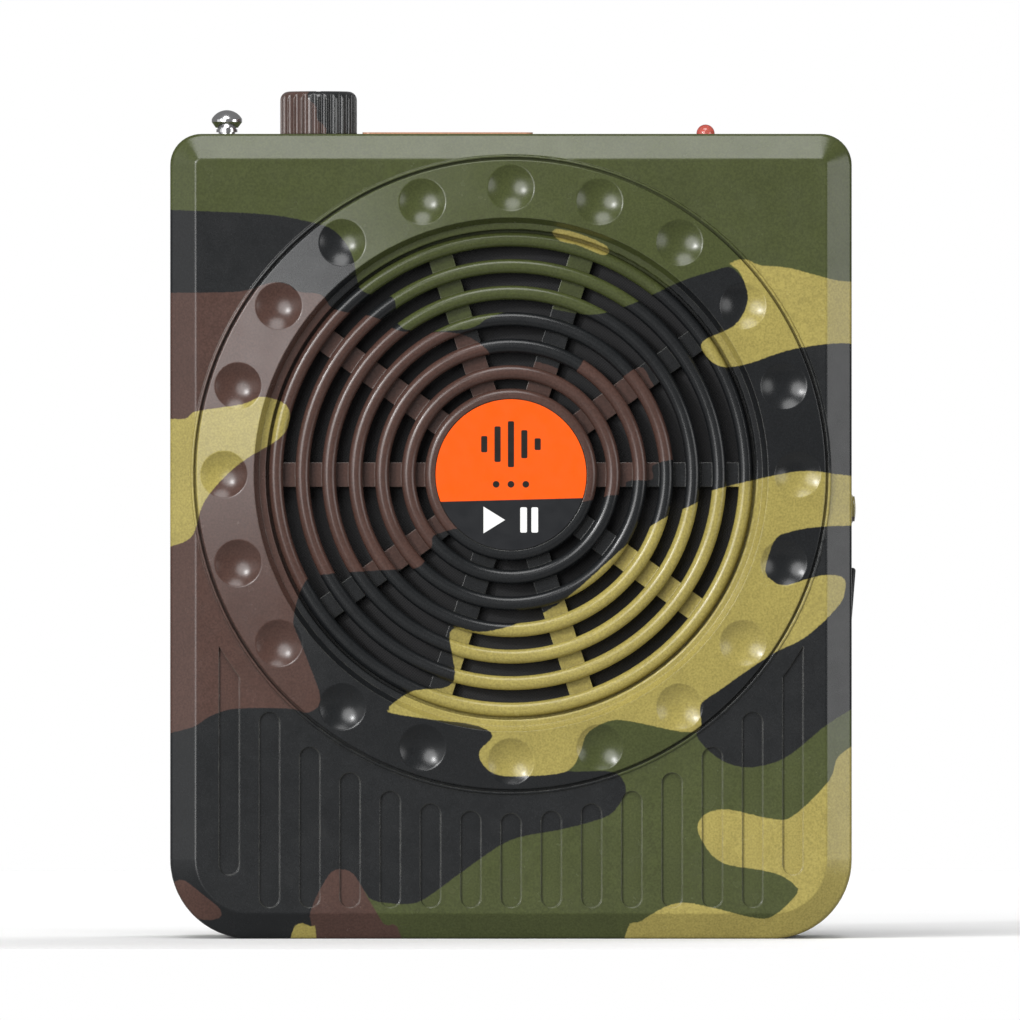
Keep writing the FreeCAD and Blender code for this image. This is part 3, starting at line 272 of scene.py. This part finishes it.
def split_faces(faces, middles):
    """Triangles cut at the middle points of their edges; -1 stands for no point."""
    count = (middles >= 0).sum(axis=1)
    first = np.where(count == 1, np.argmax(middles >= 0, axis=1),
                     np.where(count == 2, (np.argmin(middles >= 0, axis=1) + 1) % 3, 0))
    order = (first[:, None] + np.arange(3)) % 3
    a, b, c = np.take_along_axis(faces, order, axis=1).T
    ab, bc, ca = np.take_along_axis(middles, order, axis=1).T
    cuts = {0: [(a, b, c)],
            1: [(a, ab, c), (ab, b, c)],
            2: [(ab, b, bc), (a, ab, bc), (a, bc, c)],
            3: [(a, ab, ca), (ab, b, bc), (ca, bc, c), (ab, bc, ca)]}
    return np.vstack([np.stack(cut, axis=1)[count == n] for n, parts in cuts.items() for cut in parts])


HIDDEN_EDGE, CROWN_EDGE, SHORTEST_EDGE, LONGEST_EDGE = 30.0, 0.9, 1.1, 8.0
EDGE_PER_DISTANCE = 1.3


def painted(node, camo, material):
    """Stands for a CAD node: the same surface, cut finely where the colours meet, with the patches on it."""
    source = NODES[node].data
    source.calc_loop_triangles()
    points = np.empty(len(source.vertices) * 3)
    source.vertices.foreach_get("co", points)
    points = points.reshape(-1, 3) / MM
    loops = np.empty(len(source.loop_triangles) * 3, np.int64)
    source.loop_triangles.foreach_get("loops", loops)
    vertex_of = np.empty(len(source.loops), np.int64)
    source.loops.foreach_get("vertex_index", vertex_of)
    corner_normals = np.array([n.vector for n in source.corner_normals])
    normals = np.zeros_like(points)
    normals[vertex_of] = corner_normals
    faces = vertex_of[loops].reshape(-1, 3)

    def longest(middles):
        near = np.abs(camo(middles)).min(axis=1)
        hidden = skin(middles) < 0.5
        on_crown = crown_at(middles)[0] >= 0
        by_distance = np.clip(EDGE_PER_DISTANCE * near, SHORTEST_EDGE, LONGEST_EDGE)
        shown = np.where(on_crown, CROWN_EDGE, by_distance)
        return np.where(hidden, HIDDEN_EDGE, shown)

    points, normals, faces = halve_long_edges(points, normals, faces, longest)
    normals = crown_normals(points, normals)
    mesh = bpy.data.meshes.new(node + "_painted")
    mesh.from_pydata((points * MM).tolist(), [], faces.tolist())
    mesh.shade_smooth()
    mesh.normals_split_custom_set_from_vertices(normals.tolist())
    mesh.attributes.new("patches", "FLOAT_VECTOR", "POINT").data.foreach_set("vector", camo(points).ravel())
    mesh.attributes.new("skin", "FLOAT", "POINT").data.foreach_set("value", skin(points))
    mesh.materials.append(material)
    piece = bpy.data.objects.new(node + "_painted", mesh)
    bpy.context.scene.collection.objects.link(piece)
    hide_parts(node)
    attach(piece, BODY_OF[node])
    return piece


CASE_HALF_WIDTH, CASE_HEIGHT, CASE_CORNER = 45.9, 108.4, 10.7
SKIN_DEPTH = 1.9
INSIDE_FRONT_Y, INSIDE_REAR_Y = -16.3, 17.8


def skin(points):
    """1 on the outside of the case and 0 inside it."""
    x, y, z = points.T
    aside = np.maximum(np.abs(x) - (CASE_HALF_WIDTH - CASE_CORNER), 0)
    below = np.maximum(CASE_CORNER - z, 0)
    within_outline = (np.hypot(aside, below) < CASE_CORNER - SKIN_DEPTH) & (z < CASE_HEIGHT - SKIN_DEPTH)
    inside = within_outline & (y > INSIDE_FRONT_Y) & (y < INSIDE_REAR_Y)
    return np.where(inside, 0.0, 1.0)


# ---- materials ----

class Finish:
    """A node material, with a call for each kind of node. Its coordinates are in millimetres."""

    def __init__(self, name):
        self.material = bpy.data.materials.new(name)
        self.material.use_nodes = True
        self.tree = self.material.node_tree
        self.shader = next(n for n in self.tree.nodes if n.type == "BSDF_PRINCIPLED")
        place = self.node("ShaderNodeTexCoord").outputs["Object"]
        self.place = self.vector("SCALE", place, scale=1 / MM)
        self.x, self.y, self.z = self.split(self.place)

    def node(self, kind, **settings):
        made = self.tree.nodes.new(kind)
        for key, value in settings.items():
            setattr(made, key, value)
        return made

    def put(self, value, socket):
        """Links an output to the input, or sets the input to a plain value."""
        if isinstance(value, bpy.types.NodeSocket):
            self.tree.links.new(value, socket)
        elif isinstance(value, tuple) and len(value) == 3 and socket.type == "RGBA":
            socket.default_value = (*value, 1)
        else:
            socket.default_value = value

    def math(self, operation, *values):
        made = self.node("ShaderNodeMath", operation=operation)
        for value, socket in zip(values, made.inputs):
            self.put(value, socket)
        return made.outputs[0]

    def vector(self, operation, *values, scale=None):
        made = self.node("ShaderNodeVectorMath", operation=operation)
        for value, socket in zip(values, made.inputs):
            self.put(value, socket)
        if scale is not None:
            made.inputs["Scale"].default_value = scale
        return made.outputs[0]

    def split(self, vector):
        made = self.node("ShaderNodeSeparateXYZ")
        self.put(vector, made.inputs[0])
        return made.outputs

    def stretched(self, sx, sy, sz):
        """The coordinates stretched along the axes, for brushed and streaky patterns."""
        return self.vector("MULTIPLY", self.place, (sx, sy, sz))

    def noise(self, size, detail=2.0, roughness=0.5, at=None):
        """Noise between 0 and 1 with lumps of that size in mm."""
        made = self.node("ShaderNodeTexNoise")
        self.put(at or self.place, made.inputs["Vector"])
        made.inputs["Scale"].default_value = 1 / size
        made.inputs["Detail"].default_value = detail
        made.inputs["Roughness"].default_value = roughness
        return made.outputs["Fac"]

    def cells(self, size, feature="F1", at=None):
        made = self.node("ShaderNodeTexVoronoi", feature=feature)
        self.put(at or self.place, made.inputs["Vector"])
        made.inputs["Scale"].default_value = 1 / size
        return made.outputs["Distance"]

    def spread(self, value, low, high, to_low=0.0, to_high=1.0):
        """Maps low to high onto to_low to to_high, and holds it there outside."""
        made = self.node("ShaderNodeMapRange")
        for number, socket in zip((value, low, high, to_low, to_high), made.inputs):
            self.put(number, socket)
        return made.outputs[0]

    def mix(self, factor, first, second):
        made = self.node("ShaderNodeMix", data_type="RGBA")
        self.put(factor, made.inputs["Factor"])
        self.put(first, made.inputs[6])
        self.put(second, made.inputs[7])
        return made.outputs[2]

    def shade(self, colour, amount):
        """The colour times a number."""
        made = self.node("ShaderNodeHueSaturation")
        self.put(amount, made.inputs["Value"])
        self.put(colour, made.inputs["Color"])
        return made.outputs[0]

    def bump(self, height, depth, normal=None):
        """Relief of that depth in mm where height goes from 0 to 1, on top of the given normal."""
        made = self.node("ShaderNodeBump")
        made.inputs["Distance"].default_value = depth * MM
        self.put(height, made.inputs["Height"])
        if normal:
            self.put(normal, made.inputs["Normal"])
        self.put(made.outputs[0], self.shader.inputs["Normal"])

    def rounded(self, radius):
        """The normal as if every edge were rounded by radius in mm."""
        made = self.node("ShaderNodeBevel", samples=6)
        made.inputs["Radius"].default_value = radius * MM
        return made.outputs[0]

    def edges(self, radius):
        """1 within radius in mm of an edge and 0 elsewhere."""
        made = self.node("ShaderNodeVectorMath", operation="DOT_PRODUCT")
        self.put(self.rounded(radius), made.inputs[0])
        self.put(self.node("ShaderNodeNewGeometry").outputs["Normal"], made.inputs[1])
        return self.spread(made.outputs["Value"], 0.985, 0.90)

    def finish(self, **inputs):
        """Sets the shader's inputs; an underscore stands for a space."""
        for key, value in inputs.items():
            self.put(value, self.shader.inputs[key.replace("_", " ")])
        return self.material


GREEN_PAINT = (0.056, 0.067, 0.021)
BLACK_PAINT = (0.0105, 0.0115, 0.0125)
BROWN_PAINT = (0.071, 0.037, 0.029)
TAN_PAINT = (0.325, 0.27, 0.075)
# Paler paint for the camouflage's edges: partly rubbed paint, partly a painted highlight.
EDGE_WEAR_AND_HIGHLIGHT_PAINT = (0.16, 0.16, 0.13)
BARE_PLASTIC = (0.018, 0.019, 0.018)
WORN_PLASTIC = (0.1, 0.1, 0.1)
TARNISH = (0.3, 0.27, 0.22)
INK_BLACK = (0.012, 0.010, 0.008)
INK_DARK_GROUND = (0.012, 0.013, 0.015)
INK_ORANGE = (0.93, 0.10, 0.001)
INK_WHITE = (0.86, 0.86, 0.84)


def camouflage(name, roughness=0.25, specular=0.45):
    """Printed camouflage film over satin plastic; the inside of the case is bare black plastic."""
    f = Finish(name)
    patches = f.node("ShaderNodeAttribute", attribute_name="patches").outputs["Vector"]
    skin_here = f.node("ShaderNodeAttribute", attribute_name="skin").outputs["Fac"]
    ragged = f.spread(f.noise(0.5, detail=3, roughness=0.6), 0, 1, -0.12, 0.12)
    colour = GREEN_PAINT
    for distance, paint in zip(f.split(patches), (BLACK_PAINT, BROWN_PAINT, TAN_PAINT)):
        edge = f.spread(f.math("ADD", distance, ragged), -0.07, 0.07)
        colour = f.mix(edge, colour, paint)
    speckle = f.spread(f.noise(0.28, detail=1), 0.3, 0.7, 0.84, 1.16)
    mottle = f.spread(f.noise(7.0, detail=3), 0.3, 0.7, 0.94, 1.06)
    colour = f.shade(colour, f.math("MULTIPLY", speckle, mottle))
    # Ridges and hollows alike are painted lighter along their edges: partly rubbed paint, partly a painted
    # highlight.
    lighter_edges = f.math("MULTIPLY", f.edges(0.22), f.spread(f.noise(1.4, detail=3), 0.35, 0.65, 0.1, 1))
    colour = f.mix(f.math("MULTIPLY", lighter_edges, 0.3), colour, EDGE_WEAR_AND_HIGHLIGHT_PAINT)
    colour = f.mix(skin_here, BARE_PLASTIC, colour)
    gloss = f.spread(f.noise(2.6, detail=3), 0.2, 0.8, roughness - 0.03, roughness + 0.04)
    relief = f.math("ADD", f.noise(0.16, detail=2), f.math("MULTIPLY", f.noise(1.2), 1.2))
    f.bump(relief, 0.0013, f.rounded(0.2))
    return f.finish(Base_Color=colour, Roughness=gloss, Specular_IOR_Level=specular)


def moulded(name, colour, roughness=0.42, grain=0.22, depth=0.006, variation=0.14, wear=0.0):
    """Moulded plastic or rubber with a fine spark-eroded grain, faint flow marks and rubbed edges."""
    f = Finish(name)
    fine = f.noise(grain, detail=2)
    flow = f.noise(9.0, detail=2, at=f.stretched(1, 1, 0.35))
    tone = f.math("MULTIPLY", f.spread(fine, 0.3, 0.7, 1 - variation, 1 + variation),
                  f.spread(flow, 0.3, 0.7, 0.92, 1.08))
    shaded = f.shade(colour, tone)
    if wear:
        lighter_edges = f.math("MULTIPLY", f.edges(0.2), f.spread(f.noise(0.9, detail=3), 0.4, 0.6))
        shaded = f.mix(f.math("MULTIPLY", lighter_edges, wear), shaded, WORN_PLASTIC)
    f.bump(fine, depth)
    return f.finish(Base_Color=shaded, Roughness=f.spread(flow, 0.3, 0.7, roughness - 0.05, roughness + 0.06))


def metal(name, colour, roughness, streaks=(1, 1, 1), tarnish=0.12):
    """Plated or bare metal with fine drawing lines, small pits and a little tarnish."""
    f = Finish(name)
    lines = f.noise(0.18, detail=3, at=f.stretched(*streaks))
    clouds = f.noise(3.0, detail=4)
    spots = f.spread(f.cells(1.1), 0.02, 0.12, 1, 0)
    shaded = f.shade(colour, f.spread(lines, 0.3, 0.7, 0.93, 1.05))
    dulled = f.math("ADD", f.spread(clouds, 0.45, 0.75, 0, tarnish), f.math("MULTIPLY", spots, tarnish))
    shaded = f.mix(dulled, shaded, TARNISH)
    f.bump(lines, 0.001)
    gloss = f.spread(clouds, 0.3, 0.75, roughness, roughness + 0.1)
    return f.finish(Base_Color=shaded, Metallic=1.0, Roughness=gloss)


def woven(name, colour, pitch, roughness=0.85):
    """Plain weave across x and z, with uneven yarns."""
    f = Finish(name)
    turn = 2 * math.pi / pitch
    uneven = f.spread(f.noise(1.5, detail=2), 0, 1, -0.6, 0.6)
    warp = f.math("SINE", f.math("ADD", f.math("MULTIPLY", f.x, turn), uneven))
    weft = f.math("SINE", f.math("ADD", f.math("MULTIPLY", f.z, turn), uneven))
    weave = f.spread(f.math("MULTIPLY", warp, weft), -1, 1)
    hairs = f.noise(0.06, detail=3)
    tone = f.math("MULTIPLY", f.spread(weave, 0, 1, 0.55, 1.35), f.spread(hairs, 0.3, 0.7, 0.8, 1.2))
    f.bump(f.math("ADD", weave, f.math("MULTIPLY", hairs, 0.4)), 0.05)
    return f.finish(Base_Color=f.shade(colour, tone), Roughness=roughness, Sheen_Weight=0.25)


def fibrous(name, colour, roughness=0.8):
    """Pressed paper or felt: short fibres lying all ways."""
    f = Finish(name)
    fibres = f.math("ADD", f.noise(0.12, detail=4, roughness=0.7, at=f.stretched(1, 1, 0.2)),
                    f.noise(0.12, detail=4, roughness=0.7, at=f.stretched(0.2, 1, 1)))
    f.bump(fibres, 0.03)
    return f.finish(Base_Color=f.shade(colour, f.spread(fibres, 0.7, 1.3, 0.7, 1.35)), Roughness=roughness)


def foamed(name, colour):
    """Open-cell foam."""
    f = Finish(name)
    pores = f.cells(0.45)
    f.bump(pores, 0.12)
    return f.finish(Base_Color=f.shade(colour, f.spread(pores, 0, 0.6, 1.4, 0.4)), Roughness=0.95)


def wound(name, colour, pitch=0.16):
    """Enamelled wire wound round the y axis, layer beside layer."""
    f = Finish(name)
    turns = f.math("SINE", f.math("MULTIPLY", f.y, 2 * math.pi / pitch))
    f.bump(f.spread(turns, -1, 1), 0.04)
    patchy = f.spread(f.noise(0.8, detail=3), 0.3, 0.7, 0.85, 1.1)
    tone = f.math("MULTIPLY", f.spread(turns, -1, 1, 0.75, 1.15), patchy)
    return f.finish(Base_Color=f.shade(colour, tone), Metallic=0.7, Roughness=0.35)


def circuit(name):
    """Solder mask over copper tracks, with tinned pads."""
    f = Finish(name)
    tracks = f.spread(f.cells(2.4, feature="DISTANCE_TO_EDGE", at=f.stretched(1, 0.2, 1)), 0.02, 0.06, 1, 0)
    pads = f.spread(f.cells(3.1, at=f.stretched(1, 0.2, 1)), 0.11, 0.13, 1, 0)
    mask = f.shade((0.008, 0.075, 0.028), f.spread(f.noise(1.5, detail=3), 0.3, 0.7, 0.85, 1.15))
    colour = f.mix(f.math("MULTIPLY", tracks, 0.6), mask, (0.02, 0.16, 0.05))
    colour = f.mix(pads, colour, (0.62, 0.6, 0.55))
    f.bump(f.math("ADD", tracks, pads), 0.035)
    return f.finish(Base_Color=colour, Metallic=f.math("MULTIPLY", pads, 0.9), Roughness=0.35)


def lens(name):
    """Clear red plastic with a painted glow: a little paler where it faces the viewer, deeper red towards its
    outline.
    """
    f = Finish(name)
    swirl = f.noise(0.9, detail=3)
    rim = f.node("ShaderNodeLayerWeight")
    rim.inputs["Blend"].default_value = 0.35
    # Painted glow: paler red where the lens faces the viewer, deeper red at grazing angles.
    colour = f.mix(rim.outputs["Facing"], (0.95, 0.20, 0.17), (0.72, 0.03, 0.03))
    f.bump(swirl, 0.01)
    return f.finish(Base_Color=f.shade(colour, f.spread(swirl, 0.3, 0.7, 0.9, 1.1)), Roughness=0.12,
                    Transmission_Weight=0.55, IOR=1.49, Subsurface_Weight=0.2, Coat_Weight=0.3)


LABEL_SPLIT_Z, LABEL_LEAN = 59.1, math.tan(math.radians(1.5))
LEVEL_BARS_Z, DOTS_Z, MARKS_Z = 66.6, 61.2, 56.4
LEVEL_BARS = ((-3.6, 1.1), (-1.8, 2.4), (0.0, 3.1), (1.8, 1.9), (3.6, 0.8))
PLAY_LEFT, PLAY_TIP, PLAY_SLOPE = -3.7, -0.8, 0.62
PRINT_BLUR = 0.03


def label(name):
    """Printed film: orange above black, with level bars, dots, and play and pause marks."""
    f = Finish(name)
    rise = f.math("MULTIPLY", f.x, LABEL_LEAN)
    above_split = f.math("SUBTRACT", f.math("SUBTRACT", f.z, LABEL_SPLIT_Z), rise)

    def bar(x, z, half_width, half_height, corner=0.2):
        across = f.math("SUBTRACT", f.math("ABSOLUTE", f.math("SUBTRACT", f.x, x)), half_width - corner)
        up = f.math("SUBTRACT", f.math("ABSOLUTE", f.math("SUBTRACT", f.z, z)), half_height - corner)
        round_part = f.math("SQRT", f.math("ADD", f.math("POWER", f.math("MAXIMUM", across, 0.0), 2.0),
                                           f.math("POWER", f.math("MAXIMUM", up, 0.0), 2.0)))
        return f.spread(round_part, corner - PRINT_BLUR, corner + PRINT_BLUR, 1, 0)

    def any_of(masks):
        total = masks[0]
        for mask in masks[1:]:
            total = f.math("MAXIMUM", total, mask)
        return total

    bars = [bar(x, LEVEL_BARS_Z, 0.42, height) for x, height in LEVEL_BARS]
    dots = [bar(x, DOTS_Z, 0.45, 0.45, corner=0.44) for x in (-2.0, 0.0, 2.0)]
    pause = [bar(x, MARKS_Z, 0.45, 1.7) for x in (1.7, 3.2)]
    half_height = f.math("MULTIPLY", f.math("SUBTRACT", PLAY_TIP, f.x), PLAY_SLOPE)
    within = f.math("SUBTRACT", half_height, f.math("ABSOLUTE", f.math("SUBTRACT", f.z, MARKS_Z)))
    play = f.math("MULTIPLY", f.spread(within, -PRINT_BLUR, PRINT_BLUR),
                  f.spread(f.x, PLAY_LEFT - PRINT_BLUR, PLAY_LEFT + PRINT_BLUR))
    ground = f.mix(f.spread(above_split, -0.04, 0.04), INK_DARK_GROUND, INK_ORANGE)
    inked = f.mix(any_of(bars + dots), ground, INK_BLACK)
    inked = f.mix(any_of(pause + [play]), inked, INK_WHITE)
    grain = f.noise(0.12, detail=2)
    f.bump(f.math("ADD", grain, f.math("MULTIPLY", f.noise(2.5), 1.5)), 0.003)
    return f.finish(Base_Color=f.shade(inked, f.spread(grain, 0.3, 0.7, 0.95, 1.05)),
                    Roughness=f.spread(f.noise(1.8, detail=3), 0.3, 0.7, 0.3, 0.42), Specular_IOR_Level=0.25)


FINISHES = {
    "case_green": camouflage("case_camouflage"),
    "knob_plastic": camouflage("knob_camouflage", specular=0.8),
    "black_plastic": moulded("black_plastic_grain", (0.017, 0.017, 0.019), wear=0.3),
    "label_film": label("label_print"),
    "panel_film": moulded("panel_print", (0.50, 0.25, 0.15), roughness=0.35, variation=0.1),
    "cloth": woven("dust_weave", (0.012, 0.012, 0.013), 0.42),
    "foam": foamed("gasket_foam", (0.03, 0.03, 0.03)),
    "black_steel": moulded("powder_coat", (0.028, 0.028, 0.03), roughness=0.5, grain=0.3, depth=0.015),
    "butyl": moulded("surround_rubber", (0.015, 0.015, 0.015), roughness=0.55, grain=0.15, depth=0.01),
    "paper": fibrous("cone_paper", (0.045, 0.043, 0.041)),
    "copper": wound("coil_wire", (0.75, 0.33, 0.16)),
    "spider_cloth": woven("spider_weave", (0.50, 0.28, 0.09), 0.6, roughness=0.7),
    "zinc_steel": metal("zinc_plate", (0.60, 0.60, 0.58), 0.3, streaks=(1, 0.15, 1)),
    "ferrite": fibrous("sintered_ferrite", (0.05, 0.05, 0.055), roughness=0.55),
    "chrome": metal("chrome_plate", (0.80, 0.80, 0.81), 0.14, streaks=(1, 1, 0.1), tarnish=0.05),
    "nickel": metal("nickel_plate", (0.62, 0.60, 0.56), 0.22),
    "board_green": circuit("board_mask"),
    "chip_black": moulded("chip_epoxy", (0.012, 0.012, 0.013), roughness=0.6, grain=0.1),
    "capacitor_can": metal("capacitor_sleeve", (0.5, 0.5, 0.53), 0.28, streaks=(0.2, 1, 1)),
    "red_lens": lens("lens_red"),
    "led_white": moulded("led_body", (0.8, 0.78, 0.7), roughness=0.25, variation=0.04),
    "tongue_plastic": moulded("tongue_moulding", (0.6, 0.6, 0.6), variation=0.06),
    "cell_wrap": moulded("cell_sleeve", (0.02, 0.20, 0.40), roughness=0.22, grain=0.5, variation=0.08),
    "spring_steel": metal("spring_wire", (0.55, 0.54, 0.50), 0.25, streaks=(0.3, 1, 1)),
    "lead_red": moulded("red_insulation", (0.45, 0.018, 0.013), roughness=0.5),
    "lead_black": moulded("black_insulation", (0.018, 0.018, 0.018), roughness=0.5),
}

SLOT_OF = {}
for node, item in NODES.items():
    SLOT_OF[node] = item.material_slots[0].material.name.split(".")[0]
    item.material_slots[0].material = FINISHES[SLOT_OF[node]]

PAINTED = {"front_shell": case_camo, "rear_shell": case_camo, "battery_door": case_camo,
           "volume_knob": knob_camo, "play_button": button_camo}
for node, camo in PAINTED.items():
    painted(node, camo, FINISHES[SLOT_OF[node]])


# ---- stage, light and camera ----

FLOOR_SEEN, FLOOR_THROWN = (0.96, 0.96, 0.96), (0.35, 0.35, 0.35)


def floor_disc(radius, front):
    """A pale round floor whose front edge lies at y = front. It throws only a little light back up."""
    middle = front + radius
    turns = np.radians(np.arange(0, 360, 5))
    points = [(0, middle, 0)] + [(radius * math.cos(t), middle + radius * math.sin(t), 0) for t in turns]
    count = len(turns)
    faces = [(0, k + 1, (k + 1) % count + 1) for k in range(count)]
    mesh = bpy.data.meshes.new("studio_floor")
    mesh.from_pydata(points, [], faces)
    f = Finish("studio_paper")
    tone = f.spread(f.noise(60.0, detail=2), 0.3, 0.7, 0.99, 1.01)
    seen = f.node("ShaderNodeLightPath").outputs["Is Camera Ray"]
    paper = f.mix(seen, FLOOR_THROWN, FLOOR_SEEN)
    mesh.materials.append(f.finish(Base_Color=f.shade(paper, tone), Roughness=0.9, Specular_IOR_Level=0.2))
    floor = bpy.data.objects.new("studio_floor", mesh)
    bpy.context.scene.collection.objects.link(floor)


def studio_world(scene, backdrop, room):
    """A dim grey room with a white patch low down behind the object; the camera sees all of it white."""
    world = bpy.data.worlds.new("studio")
    world.use_nodes = True
    tree = world.node_tree
    place = tree.nodes.new("ShaderNodeTexCoord")
    split = tree.nodes.new("ShaderNodeSeparateXYZ")
    tree.links.new(place.outputs["Generated"], split.inputs[0])

    def fade(value, low, high, to_low, to_high):
        made = tree.nodes.new("ShaderNodeMapRange")
        made.interpolation_type = "SMOOTHSTEP"
        for number, socket in zip((low, high, to_low, to_high), list(made.inputs)[1:5]):
            socket.default_value = number
        tree.links.new(value, made.inputs[0])
        return made

    behind = fade(split.outputs["Y"], 0.8, 0.96, room, backdrop)
    height = fade(split.outputs["Z"], 0.07, 0.3, backdrop, room)
    tree.links.new(behind.outputs[0], height.inputs[3])
    ray = tree.nodes.new("ShaderNodeLightPath")
    seen = fade(ray.outputs["Is Camera Ray"], 0, 1, room, backdrop)
    tree.links.new(height.outputs[0], seen.inputs[3])
    tree.links.new(seen.outputs[0], tree.nodes["Background"].inputs["Strength"])
    tree.nodes["Background"].inputs["Color"].default_value = (1, 1, 1, 1)
    scene.world = world


def from_viewer(off_axis, turn):
    """A direction that many degrees from straight in front, turned anticlockwise from the right."""
    a, t = math.radians(off_axis), math.radians(turn)
    return (math.sin(a) * math.cos(t), -math.cos(a), math.sin(a) * math.sin(t))


def soft_sun(name, source, strength, degrees, mirrored=True):
    """A lamp far off in the direction of source, as wide as that many degrees, seen in gloss or not."""
    lamp = bpy.data.lights.new(name, "SUN")
    lamp.energy = strength
    lamp.angle = math.radians(degrees)
    item = bpy.data.objects.new(name, lamp)
    item.rotation_euler = Vector(source).to_track_quat("Z", "Y").to_euler()
    item.visible_glossy = mirrored
    bpy.context.scene.collection.objects.link(item)


scene = bpy.context.scene
scene.view_settings.view_transform = "Standard"
studio_world(scene, backdrop=1.0, room=0.2)
floor_disc(0.45, front=-0.12)
soft_sun("key", from_viewer(30, 155), 1.75, 36)
soft_sun("sparkle", from_viewer(43, 150), 1.0, 7)
soft_sun("top_light", from_viewer(61, 95), 1.5, 35)
soft_sun("left_light", from_viewer(61, 175), 0.15, 30)
soft_sun("right_light", from_viewer(61, 5), 0.6, 30)
soft_sun("back_light", (0.5, 0.8, 0.7), 1.2, 50, mirrored=False)

# A long lens straight in front, far enough off to see VIEW_WIDTH metres across at the case's face.
FACE_Y = -0.020
VIEW_WIDTH = 0.1373
VIEW_X, VIEW_Z = -0.00013, 0.05774
camera_data = bpy.data.cameras.new("camera")
camera_data.lens = 1100
camera_data.sensor_width = 36
camera_data.clip_start = 0.02
camera_data.clip_end = 20
distance = VIEW_WIDTH * camera_data.lens / camera_data.sensor_width
camera = bpy.data.objects.new("camera", camera_data)
camera.location = (VIEW_X, FACE_Y - distance, VIEW_Z)
camera.rotation_euler = (math.pi / 2, 0, 0)
scene.collection.objects.link(camera)
scene.camera = camera
